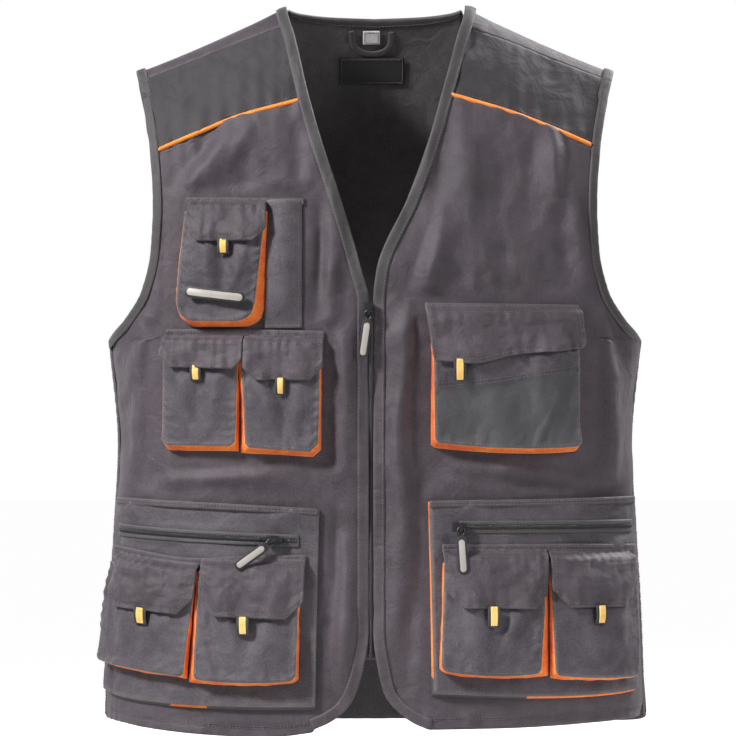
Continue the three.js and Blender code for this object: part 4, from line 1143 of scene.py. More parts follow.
def backPanel():
    half = np.concatenate([np.linspace(0, 84, 26), [86.5, 88.6, 91.6], np.linspace(94.5, 240, 52)])
    xs = np.concatenate([-half[:0:-1], half])
    share = xs / form["tip"]
    spreadOut = np.sign(share) * np.abs(share) ** 0.9
    s = backSettings
    hem, turn = form["hem"], s["turn"]
    low = np.linspace(hem, turn, int((turn - hem) / s["step"]))
    angle = spreadOut[None] * edgeAngle(low)[:, None]
    hemRise = (s["hemRise"] * smooth((-650.0 - low) / 60.0))[:, None] * np.abs(share)[None] ** 6
    z = low[:, None] + hemRise + 0.0 * angle
    x = np.sin(angle) * read(bodyRows, z, 1)
    height = backWrinkles(x, z) + puckers(x, z - hem, 13.0, 0.9, 12.0, 81) + groove(z - hem - s["hemStitch"])
    lowOuter, lowInner = onSkin(1, angle, z, height), onSkin(1, angle, z, height - form["wall"])
    t = np.linspace(0, 1, 96)[1:, None]
    quarter = form["roll"] * math.pi / 2
    startX = np.sin(spreadOut * edgeAngle(np.array(turn))) * read(bodyRows, np.array(turn), 1)
    drop = ridge(startX) - turn
    startArc = np.where(drop > form["roll"], quarter, arcOf(drop))
    deeper = np.maximum(drop - form["roll"], 0.0)
    common = s["common"]
    travel = np.where(t < 0.5, mix(startArc + deeper, common, t * 2), mix(common, backEnd(xs), t * 2 - 1))
    at = mix(startX, xs, smooth(t * 1.25))
    arc = np.minimum(travel, quarter)
    below = np.maximum(travel - quarter, 0.0)
    level = ridge(at) - form["roll"] * (1 - np.cos(np.abs(arc) / form["roll"]))
    tip = (np.abs(xs) > form["tip"] - 0.5)[None]
    at = np.where(tip, np.sign(xs) * read(armholeRows, np.minimum(level, -66.0), 1), at)
    rise = backWrinkles(at, level - below) * smooth((travel + 10.0) / 60.0)
    yokeLine = level - below - backYokeLine(at)
    rise = rise + puckers(at, np.abs(yokeLine), 16.0, 0.9, 14.0, 83) * (arc > 0)
    rise = rise + puckers(at, np.abs(travel - backEnd(xs)), 14.0, 0.25, 6.0, 85)

    def upper(lift):
        p = onShoulder(at, arc, lift)
        p[..., 2] -= below
        return p

    outer = np.concatenate([lowOuter, upper(rise)])
    inner = np.concatenate([lowInner, upper(rise - form["wall"])])
    shell("backPanel", outer, inner, [bodyCloth, liningCloth], ["back_panel"])
    for off in (s["hemStitch"], s["hemStitch"] + s["stitchGap"]):
        a = np.linspace(-1.5, 1.5, 400)
        hz = hem + off + s["hemRise"] * np.abs(a / 1.57) ** 6
        lift = backWrinkles(np.sin(a) * 271.0, hz)
        line = onSkin(1, a, hz, lift)
        addStitches(line, unit(onSkin(1, a, hz, 1.0) - onSkin(1, a, hz, 0.0)))


def backNeckBand():
    xs = np.linspace(-87, 87, 76)
    top = arcOf(ridge(xs) - read(neckRows, np.abs(xs), 1))
    low = top + neckBandSettings["width"]
    v = np.linspace(0, 1, 7)[:, None]
    arc = mix(top, low, v)
    x = xs[None] + 0.0 * arc
    crown = 0.4 * np.sin(math.pi * v)
    outer = onShoulder(x, arc, neckBandSettings["lift"] + crown)
    inner = onShoulder(x, arc, -neckBandSettings["inner"] - crown)
    shell("backNeckBand", outer, inner, [bandCloth, bandCloth], ["back_neck_band"])
    stitchRows(inner, outer, [5])


# Flat pieces on the inner face of the back: the bare patch and the bare size label
# as left, right, top, bottom, thickness and how far off the cloth they lie
insideSettings = dict(patch=(-36, 30, -46, -72, 0.8, 0.4), label=(-12, 5, -19, -32, 0.8, 0.8), margin=1.5)


def insideBack(name, key, material, node):
    left, right, top, bottom, thick, slack = insideSettings[key]
    x, z = np.meshgrid(np.linspace(left, right, 34), np.linspace(top, bottom, 22))
    lift = -form["wall"] - 0.7 - slack * (noise(x / 9.0, z / 9.0, 91) * 0.25 + 0.2)
    arc = arcOf(ridge(x) - z)
    shell(name, onShoulder(x, arc, lift - thick), onShoulder(x, arc, lift), [material], [node])
    margin = insideSettings["margin"]
    west, east, north, south = left + margin, right - margin, top - margin, bottom + margin
    border = np.concatenate([
        np.stack([np.linspace(west, east, 30), np.full(30, north)], axis=-1),
        np.stack([np.full(14, east), np.linspace(north, south, 14)], axis=-1),
        np.stack([np.linspace(east, west, 30), np.full(30, south)], axis=-1),
        np.stack([np.full(14, west), np.linspace(south, north, 14)], axis=-1),
    ])
    arcs = arcOf(ridge(border[:, 0]) - border[:, 1])
    line = onShoulder(border[:, 0], arcs, -form["wall"] - 0.9 - thick)
    addStitches(line, unit(line - onShoulder(border[:, 0], arcs, 0.0)), 2.6)


# Hanger loop: a narrow tape along a route of x and z on the inner face
loopWidth = 5.0
loopRoute = [(-24, -19), (-22, -32), (-13, -40), (-3, -42), (8, -40), (16, -32), (17, -20)]


def hangerLoop():
    route = np.array(loopRoute, dtype=float)
    key = runOf(route)
    at = np.linspace(0, key[-1], 60)
    x, z = read(np.stack([key, route[:, 0]], -1), at, 1), read(np.stack([key, route[:, 1]], -1), at, 1)
    along = np.stack([np.gradient(x), np.gradient(z)], -1)
    along = along / np.linalg.norm(along, axis=-1, keepdims=True)
    v = np.linspace(-0.5, 0.5, 7)[:, None] * loopWidth
    tapeX, tapeZ = x[None] + along[None, :, 1] * v, z[None] - along[None, :, 0] * v
    arc = arcOf(ridge(tapeX) - tapeZ)
    crown = 0.25 * np.cos(v / loopWidth * math.pi)
    lift = -form["wall"] - 0.7
    outer, inner = onShoulder(tapeX, arc, lift - 1.2 - crown), onShoulder(tapeX, arc, lift)
    shell("hangerLoop", outer, inner, [bandCloth], ["hanger_loop"])


# Side seams: a narrow felled strip from the underarm to the hem, half on the front and half on the back
sideSettings = dict(top=-337.0, bottom=-712.0, half=0.055, lift=1.5)


def sideSeam(side):
    s = sideSettings
    z, a = np.meshgrid(np.linspace(s["top"], s["bottom"], 150), np.linspace(-1.0, 1.0, 11))
    angle = side * (math.pi / 2 - np.abs(a) * s["half"])
    lift = s["lift"] - 0.9 * np.abs(a) ** 3 + puckers(z, np.abs(a) * 3.0, 11.0, 0.3, 9.0, 89)

    def layer(more):
        front, back = onSkin(-1, angle, z, lift + more), onSkin(1, angle, z, lift + more)
        return np.where((a < 0)[..., None], front, back)

    outer, inner = layer(0.0), layer(-2.0)
    word = sideWord(side).title()
    shell("sideSeam" + word, outer, inner, [bodyCloth], rimOut=0.3)
    stitchRows(outer, inner, (2, 8))


for side in (-1, 1):
    sideSeam(side)
backPanel()
backYokeSeam()
backNeckBand()
insideBack("neckPatch", "patch", darkRubber, "neck_patch")
insideBack("sizeLabel", "label", labelCloth, "size_label")
hangerLoop()
print("back, neck band, loop and labels made")


# A round cord along a line, with rounded ends
def tube(name, line, up, radius, material, sides=8):
    along = unit(np.gradient(line, axis=0))
    across = unit(np.cross(along, up))
    up = unit(np.cross(across, along))
    a = np.linspace(0, 2 * math.pi, sides, endpoint=False)
    size = np.ones(len(line))
    size[[0, -1]] = 0.35  # the end rings draw in
    ring = across[:, None] * np.cos(a)[None, :, None] + up[:, None] * np.sin(a)[None, :, None]
    points = line[:, None] + ring * radius * size[:, None, None]
    rows, seg = np.meshgrid(np.arange(len(line) - 1), np.arange(sides), indexing="ij")
    here, there = rows * sides, (rows + 1) * sides
    nextSeg = (seg + 1) % sides
    faces = np.stack([here + seg, there + seg, there + nextSeg, here + nextSeg], -1)
    last = (len(line) - 1) * sides
    half = np.arange(sides // 2 - 1)
    caps = np.stack([sides - 1 - half, sides - 2 - half, half + 1, half], -1)
    faces = np.concatenate([faces.reshape(-1, 4), caps[:, ::-1], caps + last])
    uv = np.stack(np.broadcast_arrays(runOf(line)[:, None], (a * radius)[None]), -1).reshape(-1, 2) * mm
    points = points.reshape(-1, 3)
    piece = meshPiece(name, points, faces, uv, [material], None, np.zeros(len(points)))


# Zip lines of the base pockets, and the seam of the chest pocket's inlay, as x and z of the front view
zipRows = {"right_base_pocket": [(-256, -525), (-76, -535)], "left_base_pocket": [(84, -521), (257, -521)]}
inlayRows = [(55, -386), (65, -382), (120, -377), (145, -373), (200, -365), (212, -364)]


# Pocket fronts: puffed by a dome and by a small cloth simulation with their edges held; the base pockets'
# fronts get neither
puffSettings = dict(step=2.4, baseStep=3.0, dome=1.54, share=0.7, cap=9.5)
puffSettings.update(frames=14, pressure=0.9, grow=-0.035)
# Long creases of a front: where each starts across, how far it leans on its way down, height
frontCreases = [(0.16, 0.30, 3.4), (0.88, -0.34, 3.1), (0.48, 0.12, -2.6)]


# The cloth starts as the flat front with its border pinned; it grows a little and air pressure fills it.
def puffed(name, outer, normal):
    rows, cols = outer.shape[:2]
    index = np.arange(rows * cols).reshape(rows, cols)
    quads = np.stack([index[:-1, :-1], index[:-1, 1:], index[1:, 1:], index[1:, :-1]], axis=-1).reshape(-1, 4)
    mesh = bpy.data.meshes.new(name + "Sim")
    scale = 0.01  # centimetre units keep the solver's forces in a good range
    mesh.from_pydata((outer.reshape(-1, 3) * scale).tolist(), [], quads.tolist())
    sheet = bpy.data.objects.new(name + "Sim", mesh)
    bpy.context.collection.objects.link(sheet)
    held = sheet.vertex_groups.new(name="held")
    held.add(np.concatenate([index[0], index[-1], index[1:-1, 0], index[1:-1, -1]]).tolist(), 1.0, "REPLACE")
    cloth = sheet.modifiers.new("puff", "CLOTH")
    rules = cloth.settings
    rules.quality = 6
    rules.mass = 0.3
    rules.tension_stiffness = 40.0
    rules.compression_stiffness = 40.0
    rules.shear_stiffness = 20.0
    rules.bending_stiffness = 0.4
    rules.tension_damping = 15.0
    rules.compression_damping = 15.0
    rules.shear_damping = 15.0
    rules.bending_damping = 1.0
    rules.air_damping = 4.0
    rules.vertex_group_mass = "held"
    rules.pin_stiffness = 1.0
    rules.use_pressure = True
    rules.uniform_pressure_force = puffSettings["pressure"]
    rules.shrink_min = puffSettings["grow"]
    rules.shrink_max = puffSettings["grow"]
    rules.effector_weights.gravity = 0.0
    cloth.collision_settings.use_collision = False
    cloth.point_cache.frame_start = 1
    cloth.point_cache.frame_end = puffSettings["frames"]
    scene = bpy.context.scene
    for number in range(1, puffSettings["frames"] + 1):
        scene.frame_set(number)
    evaluated = sheet.evaluated_get(bpy.context.evaluated_depsgraph_get())
    points = np.empty(rows * cols * 3, dtype=np.float32)
    evaluated.data.vertices.foreach_get("co", points)
    moved = points.reshape(rows, cols, 3) / scale - outer
    bpy.data.objects.remove(sheet)
    bpy.data.meshes.remove(mesh)
    scene.frame_set(1)
    along = np.clip(np.sum(moved * normal, axis=-1), -1.2, puffSettings["cap"])
    return np.where(np.isfinite(along), along, 0.0)


domes = {}


# How far a finished front stands proud at a place, read from its grid; places beside it take its edge's
# value. The place's shares across and down the grid are found in a few rounds.
def domeAt(key, piece, angle, z):
    word = piece["name"].split("_")[0]
    if (key, word) not in domes:
        word = "front"
    angles, heights, rise = domes[key, word]
    rows, cols = rise.shape
    u, v = np.full(angle.shape, 0.5), np.full(angle.shape, 0.5)
    for _ in range(5):
        col = np.clip((u * (cols - 1)).astype(int), 0, cols - 1)
        row = np.clip((v * (rows - 1)).astype(int), 0, rows - 1)
        v = np.clip((heights[0, col] - z) / (heights[0, col] - heights[-1, col]), 0.0, 1.0)
        u = np.clip((angle - angles[row, 0]) / (angles[row, -1] - angles[row, 0]), 0.0, 1.0)
    across, down = u * (cols - 1), v * (rows - 1)
    c, r = np.minimum(across.astype(int), cols - 2), np.minimum(down.astype(int), rows - 2)
    top = mix(rise[r, c], rise[r, c + 1], across - c)
    low = mix(rise[r + 1, c], rise[r + 1, c + 1], across - c)
    return mix(top, low, down - r)


def belowInlay(middles):
    return (middles[:, 2] < read(inlayRows, middles[:, 0], 1)).astype(int)


# Two stitch rows along the inlay's seam
def inlayStitches(key, pocket, piece):
    x = np.linspace(62.0, 203.0, 90)
    for off in (1.6, 4.8):
        z = read(inlayRows, x, 1) + off
        angle = angleFor(x, z, liftOf(pocket, "outer", z))
        proud = liftOf(pocket, "outer", z) + domeAt(key, piece, angle, z)
        line = onSkin(-1, angle, z, proud + 0.1)
        addStitches(line, unit(onSkin(-1, angle, z, proud + 1.1) - line))


def pocketFront(key, pocket, piece, number):
    at, width, height = patch(piece, lambda z: liftOf(pocket, "outer", z))
    step = puffSettings["baseStep" if "base" in key else "step"]
    u, v = gridOf(width, height, step)
    angle, z = at(u, v)
    lift = liftOf(pocket, "outer", z)
    outer = onSkin(-1, angle, z, lift)
    normal = unit(onSkin(-1, angle, z, lift + 1.0) - outer)
    across, down = u * width, v * height
    edge = np.minimum(np.minimum(across, width - across), height - down)
    rise = 1.7 * layered(across / 30.0, down / 42.0, 101 + number)
    rise += 0.35 * creased(across / 17.0 + down / 60.0, down / 34.0, 109 + number)
    for start, lean, tall in frontCreases:
        crest = width * (start + lean * v + 0.05 * noise(v * 3.0, v * 0.0, 111 + number))
        reach = np.sin(math.pi * np.clip(v, 0, 1)) ** 0.8
        rise += tall * reach * np.exp(-(((across - crest) / (0.075 * width + 2.5)) ** 2))
    rise += puckers(down, np.minimum(across, width - across), 10.0, 0.8, 8.0, 103 + number)
    rise += puckers(across, height - down, 11.0, 0.8, 8.0, 105 + number)
    rise += groove(edge - 3.2, 0.35, 1.0)
    if "base" in key:
        rise += 0.9 * layered(across / 34.0, down / 30.0, 107 + number)
        rise -= 0.25
        rise *= smooth(edge / 5.0) * 0.6 + 0.4
        zipAway = np.abs(z - read(zipRows[key], np.sin(angle) * read(bodyRows, z, 1), 1))
        rise *= 1.0 - 0.92 * np.exp(-((zipAway / 13.0) ** 4))
        rise -= 1.2 * groove(zipAway - 8.0, 0.5, 1.0)
    else:
        dome = (4 * u * (1 - u)) ** 0.7 * (np.sin(math.pi * np.clip(v, 0, 1) ** 0.8)) ** 0.7
        rise += puffSettings["dome"] * dome
        if key == "chest_pocket":
            seam = z - read(inlayRows, np.sin(angle) * read(bodyRows, z, 1), 1)
            rise += 1.3 * smooth(seam / 2.2 + 0.5) * np.exp(-np.maximum(seam, 0.0) / 26.0)
            rise += groove(seam - 3.2, 0.4, 0.9)
        rise += puffed(key + piece["name"], outer, normal) * puffSettings["share"]
    cap = puffSettings["cap"]
    rise = np.maximum(cap * np.tanh(rise / cap), -1.0)
    domes[key, piece["name"].split("_")[0]] = (angle, z, rise)
    outer = outer + normal * rise[..., None]
    inner = outer - normal * layers["wall"]
    node = key + "_" + piece["name"]
    kindAt = belowInlay if key == "chest_pocket" else None
    shell(node + "Cloth", outer, inner, [pocketCloth, inlayCloth], [node], kindAt=kindAt)
    if key == "chest_pocket":
        inlayStitches(key, pocket, piece)
    if "base" not in key:
        rim = np.concatenate([outer[2:, 0], outer[-1, 1:], outer[-2:2:-1, -1]])
        lean = np.concatenate([normal[2:, 0], normal[-1, 1:], normal[-2:2:-1, -1]])
        tube(node + "Cord", rim - lean * 1.5, lean, 0.85, edgeCord)
    border = max(1, int(round(3.2 / step)))
    addStitches(outer[:, border], normal[:, border])
    addStitches(outer[:, -1 - border], normal[:, -1 - border])
    addStitches(outer[-1 - border], normal[-1 - border])


# Gussets: a wall from the cloth under it up to the edges of the fronts, pleated once along its middle
gussetSettings = dict(step=2.6, across=9, pleat=1.4)


# Where a base pocket's gusset is plain dark cloth, by x and z; elsewhere, and on the others, it is orange
plainGussets = {
    "right_base_pocket": lambda x, z: (z > -680.0) | (x < -204.0) | (x > -168.0),
    "left_base_pocket": lambda x, z: (z < -670.0) & (x < 150.0) | (x > 263.0),
}


def pocketGusset(key, pocket, number):
    def liftAt(z):
        return liftOf(pocket, "outer", z)

    left, right, bottom = pocket["spread"]
    last = len(pocket["fronts"]) - 1
    wall = layers["gusset"]
    parts = []
    for i, piece in enumerate(pocket["fronts"]):
        grow = (left if i == 0 else 0, right if i == last else 0, bottom)
        less = tuple(g - wall for g in grow)
        topOuter, width, height = patch(piece, liftAt)
        group = [topOuter] + [patch(piece, liftAt, more)[0] for more in ((-wall,) * 3, grow, less)]
        sides = np.linspace(0, 1, max(4, int(height / gussetSettings["step"])))
        floor = np.linspace(0, 1, max(6, int(width / gussetSettings["step"])))
        u = np.concatenate([0 * sides[:-1], floor, 0 * sides[:-1] + 1])
        v = np.concatenate([sides[:-1], 0 * floor + 1, sides[-2::-1]])
        parts.append((i, group, u, v))
    q = np.linspace(0, 1, gussetSettings["across"])[:, None]
    divider = pocket.get("divider")
    if divider:
        places = np.array(divider, dtype=float)
        dividerAngle = angleFor(places[:, 0], places[:, 1], liftOf(pocket, "base", places[:, 1]))

    def layer(isOuter):
        rows = []
        for i, group, u, v in parts:
            topAngle, topZ = group[0 if isOuter else 1](u, v)
            baseAngle, baseZ = group[2 if isOuter else 3](u, v)
            faces = u if i == 0 else 1 - u
            if divider:
                t = (baseZ - places[0, 1]) / (places[1, 1] - places[0, 1])
                away = (-1 if i == 0 else 1) * (0.8 if isOuter else 1.9) * wall / 267.0
                target = mix(dividerAngle[0], dividerAngle[1], t) + away
                baseAngle = mix(baseAngle, target, smooth((faces - 0.5) / 0.5))
            z = mix(baseZ, topZ, q)
            low, high = liftOf(pocket, "base", z), liftOf(pocket, "inner", z) - 0.2
            rows.append(onSkin(-1, mix(baseAngle, topAngle, q), z, mix(low, high, q)))
        return np.concatenate(rows, axis=1)

    outer, inner = layer(True), layer(False)
    sideways = unit(outer - inner)
    along = runOf(outer[0])[None] + 0.0 * q
    uneven = 1.0 + 0.5 * noise(along / 13.0, along * 0.0, 121 + number)
    pleat = gussetSettings["pleat"] * np.sin(math.pi * q) * uneven
    pleat = pleat + 0.35 * noise(along / 6.0, q * 3.0 + 0.0 * along, 123 + number) * np.sin(math.pi * q)
    if "base" in key:
        pleat = pleat * 0.4
    outer, inner = outer + sideways * pleat[..., None], inner + sideways * pleat[..., None]
    kindAt = None
    if key in plainGussets:
        kindAt = lambda middles: plainGussets[key](middles[:, 0], middles[:, 2])
    node = key + "_gusset"
    shell(node + "Cloth", outer, inner, [gussetCloth, bandCloth], [node], kindAt=kindAt)


# Flaps: stitched down along the top, bent over the pocket's mouth, a little curled at the free edge
flapSettings = dict(step=1.9, wall=1.8)


def flapLift(pocket, v, z):
    rise = smooth((v - 0.04) / 0.14)
    return mix(liftOf(pocket, "base", z), liftOf(pocket, "outer", z) + layers["flapGap"], rise)


def pocketFlap(key, pocket, piece, number):
    total = layers["flapGap"] + layers["flap"]
    at, width, height = patch(piece, lambda z: liftOf(pocket, "outer", z) + total)
    u, v = gridOf(width, height, flapSettings["step"])
    angle, z = at(u, v)
    carried = np.maximum(domeAt(key, piece, angle, z), domeAt(key, piece, angle, z + 4.0))
    base = flapLift(pocket, v, z) + (carried + 0.4) * smooth(v * 5.0)
    across, down = u * width, v * height
    sides = np.minimum(across, width - across)
    rise = 1.9 * np.sin(math.pi * np.clip(v * 1.05, 0, 1)) ** 0.8
    rise = rise * smooth(v * 6.0) * smooth(sides / 16.0 + 0.35)
    rise += 1.3 * layered(across / 24.0, down / 17.0, 131 + number) * smooth(v * 5.0)
    rise += puckers(across, down, 10.5, 1.9, 13.0, 133 + number) * smooth(v * 8.0)
    rise += puckers(across, height - down, 13.0, 1.5, 11.0, 135 + number)
    rise += 3.2 * smooth((v - 0.5) / 0.5) * (0.75 + 0.5 * noise(across / 31.0, across * 0.0, 137 + number))
    free = np.minimum(sides, height - down)
    rise += groove(free - 3.0, 0.35, 1.0) * smooth(v * 6.0)
    flat = onSkin(-1, angle, z, base)
    normal = unit(onSkin(-1, angle, z, base + 1.0) - flat)
    outer = flat + normal * (rise + flapSettings["wall"])[..., None]
    inner = flat + normal * rise[..., None]
    node = key + "_" + piece["name"]
    shell(node + "Cloth", outer, inner, [bodyCloth, bodyCloth], [node], rimOut=0.45)
    border = max(1, int(round(3.0 / flapSettings["step"])))
    addStitches(outer[border:, border], normal[border:, border])
    addStitches(outer[border:, -1 - border], normal[border:, -1 - border])
    addStitches(outer[-1 - border, border:-border], normal[-1 - border, border:-border])
    for row in (1, 4):
        addStitches(outer[row], normal[row])


# Tabs: a loop of dark tape folded under the flap's edge, with a golden stripe along its middle. The dark
# tape, wider than the stripe and reaching below it, is partly painted shadow round and under the tab.
tabSettings = dict(step=0.7, tape=1.3, stripe=0.68, out=1.6)


def pocketTab(key, pocket, piece):
    at, width, height = patch(piece, lambda z: liftOf(pocket, "outer", z))
    u, v = gridOf(width, height, tabSettings["step"])
    node = key + "_" + piece["name"]
    proud = float(domeAt(key, piece, *at(u, v)).max())
    # The dark piece, wider and longer than the stripe, is partly painted shadow of the tab
    for word, share, low, fat, ribbed, material, nodes in (
        ("Tape", tabSettings["tape"], 1.06, 0.0, 0.0, darkTape, ()),
        ("Stripe", tabSettings["stripe"], 1.0, 0.6, 1.0, tabCloth, (node,)),
    ):
        angle, z = at(0.5 + (u - 0.5) * share, v * low)
        bow = 1.4 * np.sin(math.pi * np.clip(v, 0, 1)) + 1.2 * (1 - v)
        lift = liftOf(pocket, "outer", z) + layers["flapGap"] + tabSettings["out"] + bow
        lift = lift + proud + 0.12 * np.sin(u * 7 * math.pi) * ribbed
        outer, inner = onSkin(-1, angle, z, lift + fat + 0.9), onSkin(-1, angle, z, lift + fat - 0.4)
        shell(node + word, outer, inner, [material], nodes, rimOut=0.4)


# Seam strips over the tops of the flaps: top line from left to right, height
strips = {
    "phone": dict(line=[(-188, -193.5), (-109, -194.5), (-71, -195)], tall=6.0, lift=2.4),
    "small": dict(line=[(-208, -324.5), (-132, -325), (-51, -326.5)], tall=8.0, lift=2.4),
    "rightCargo": dict(line=[(-262, -541), (-177, -552.5), (-120, -550), (-69, -549)], tall=7.5, lift=7.4),
    "leftCargo": dict(line=[(67, -538.5), (172, -538.5), (261, -540)], tall=7.5, lift=7.4),
    "baseTopRight": dict(line=[(-259.5, -493), (-150, -498), (-57, -503)], tall=6.0, lift=5.6),
    "baseTopLeft": dict(line=[(55, -495), (150, -494), (261, -492)], tall=6.0, lift=5.6),
}


def seamStrip(name, s):
    line = np.array(s["line"], dtype=float)
    u, v = np.meshgrid(np.linspace(line[0, 0], line[-1, 0], 120), np.linspace(0, 1, 8))
    z = read(line, u, 1) - v * s["tall"]
    angle = angleFor(u, z, s["lift"])
    wave = puckers(u, v * 4.0, 9.0, 0.35, 9.0, 151) + 0.3 * layered(u / 20.0, z / 9.0, 153)
    lift = s["lift"] + wave
    outer, inner = onSkin(-1, angle, z, lift + 0.3 * crownOf(v)), onSkin(-1, angle, z, lift - 1.3)
    shell(name + "Strip", outer, inner, [bodyCloth], rimOut=0.4)
    stitchRows(outer, inner, (2, 5))


for name, strip in strips.items():
    seamStrip(name, strip)
for number, (key, pocket) in enumerate(pockets.items()):
    pocketGusset(key, pocket, number)
    for i, piece in enumerate(pocket["fronts"]):
        pocketFront(key, pocket, piece, number * 3 + i)
    for i, piece in enumerate(pocket.get("flaps", [])):
        pocketFlap(key, pocket, piece, number * 3 + i)
    for piece in pocket.get("tabs", []):
        pocketTab(key, pocket, piece)
    print("made", key)


# Pen pocket: a narrow welt with its mouth at the top, slightly domed
penSettings = dict(left=-104.5, right=-73.0, top=-197.0, bottom=-323.0, bulge=6.4, step=1.8)


def penPocket():
    s = penSettings
    u, v = gridOf(s["right"] - s["left"], s["top"] - s["bottom"], s["step"])
    z = mix(s["top"], s["bottom"], v)
    angle = mix(angleFor(s["left"] - 4.5, z, 1.0), angleFor(s["right"], z, 1.0), u)
    dome = np.sin(math.pi * u) ** 0.7 * smooth((1 - v) / 0.25)
    lift = layers["gap"] + s["bulge"] * dome + 0.35 * layered(u * 1.6, z / 20.0, 141)
    lift = lift + groove((v - 0.13) * 126.0, 0.5)
    lift = np.maximum(lift, 0.45)
    outer, inner = onSkin(-1, angle, z, lift + 1.6), onSkin(-1, angle, z, lift)
    shell("penPocketCloth", outer, inner, [pocketCloth, liningCloth], ["pen_pocket"])
    normal = unit(outer - inner)
    for column in (1, -2):
        addStitches(outer[:, column], normal[:, column])
    for row in (9, -2):
        addStitches(outer[row], normal[row])


penPocket()
print("pen pocket made")


# Zips. A tape with a tooth row: each tooth a small block with a narrower top, set in turn to either side.
toothSettings = dict(pitch=2.1, length=3.1, width=1.2, height=1.3, aside=0.55, shoulder=0.7, taper=0.6)


def teeth(name, line, outward, nodes=()):
    size = toothSettings
    run = runOf(line)
    count = int(run[-1] / size["pitch"] * 2)
    at = (np.arange(count) + 0.5) / count * run[-1]
    along = unit(pointsAt(line, run, at + 1) - pointsAt(line, run, at - 1))
    up = unit(pointsAt(outward, run, at))
    across = unit(np.cross(along, up))
    aside = np.where(np.arange(count) % 2, size["aside"], -size["aside"])
    points = pointsAt(line, run, at) + across * aside[:, None]
    corners = []
    for level, share in ((0.0, 1.0), (size["shoulder"], 1.0), (1.0, size["taper"])):
        corners += [(a * share, b * share, level) for a, b in ((-1, -1), (1, -1), (1, 1), (-1, 1))]
    local = np.array(corners) * (size["width"] / 2, size["length"] / 2, size["height"])
    faces = [[0, 3, 2, 1], [8, 9, 10, 11]]
    for base in (0, 4):
        faces += [[base + k, base + (k + 1) % 4, base + 4 + (k + 1) % 4, base + 4 + k] for k in range(4)]
    piece = copies(name, points, along, across, up, local, np.array(faces), darkMetal)
    if nodes:
        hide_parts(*nodes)


frontZip = dict(line=-4.0, top=-299.0, bottom=-652.0, tape=11.0, lift=-2.3, wall=1.2)


def zipTape():
    s = frontZip
    u, v = np.meshgrid(np.linspace(-1, 1, 13), np.linspace(0, 1, 160))
    z = mix(s["top"], s["bottom"], v)
    x = s["line"] + u * s["tape"]
    outer, inner = onFront(x, z, s["lift"]), onFront(x, z, s["lift"] - s["wall"])
    shell("frontZipTape", outer, inner, [bandCloth], ["front_zip_tape"])
    z = np.linspace(s["top"], s["bottom"], 200)
    x = np.full(z.shape, s["line"])
    teeth("frontZipTeeth", onFront(x, z, 0.1), normalsAt(x, z), ["front_zip_chain"])


pocketZips = dict(half=6.0, step=2.2)


def pocketZip(word):
    key = word + "_base_pocket"
    (x0, z0), (x1, z1) = zipRows[key]
    half = pocketZips["half"]
    piece = dict(corners=[(x0, z0 + half), (x1, z1 + half), (x0, z0 - half), (x1, z1 - half)])

    def lifted(z):
        return liftOf(pockets[key], "outer", z) + layers["gap"]

    at, width, _ = patch(piece, lifted)
    u, v = np.meshgrid(np.linspace(0, 1, int(width / pocketZips["step"])), np.linspace(0, 1, 13))
    angle, z = at(u, v)
    across = np.abs(v - 0.5) * 2
    proud = domeAt(key, dict(name="front"), angle, z)
    lift = lifted(z) + 0.2 + proud + 0.2 * np.sin(u * width / 7.0) * across
    shape = 0.55 + 0.5 * smooth((across - 0.35) / 0.2) * smooth((1.02 - across) / 0.15)
    outer, inner = onSkin(-1, angle, z, lift + shape), onSkin(-1, angle, z, lift - 0.35)
    shell(word + "ZipTape", outer, inner, [bandCloth], [word + "_zip"])
    angle, z = at(np.linspace(0.01, 0.99, 160), np.full(160, 0.5))
    proud = domeAt(key, dict(name="front"), angle, z)
    line = onSkin(-1, angle, z, lifted(z) + 0.6 + proud)
    teeth(word + "ZipTeeth", line, unit(onSkin(-1, angle, z, lifted(z) + 1.6 + proud) - line))
    stitchRows(outer, inner, (3, 9))


zipTape()
for word in ("right", "left"):
    pocketZip(word)
print("zips made")


# Hard pieces: sliders keep their solids; each pull is a dark frame round a bare pale plate. Heights count
# from the hinge down.
pullSettings = dict(width=10.0, frame=(-8.2, -47.0), plate=(-12.5, -45.0), plateHalf=3.0)
eyeSettings = dict(half=3.3, tall=4.6, wire=0.95, steps=40, sides=10)


# Outline points of a slot with round ends, from one end to the other, in the pull's own plane
def stadium(half, top, bottom, count):
    turn = np.linspace(0, math.pi, count)
    upper = np.stack([half * np.cos(turn), top - half + half * np.sin(turn)], -1)
    lower = np.stack([-half * np.cos(turn), bottom + half - half * np.sin(turn)], -1)
    return np.concatenate([upper, lower])


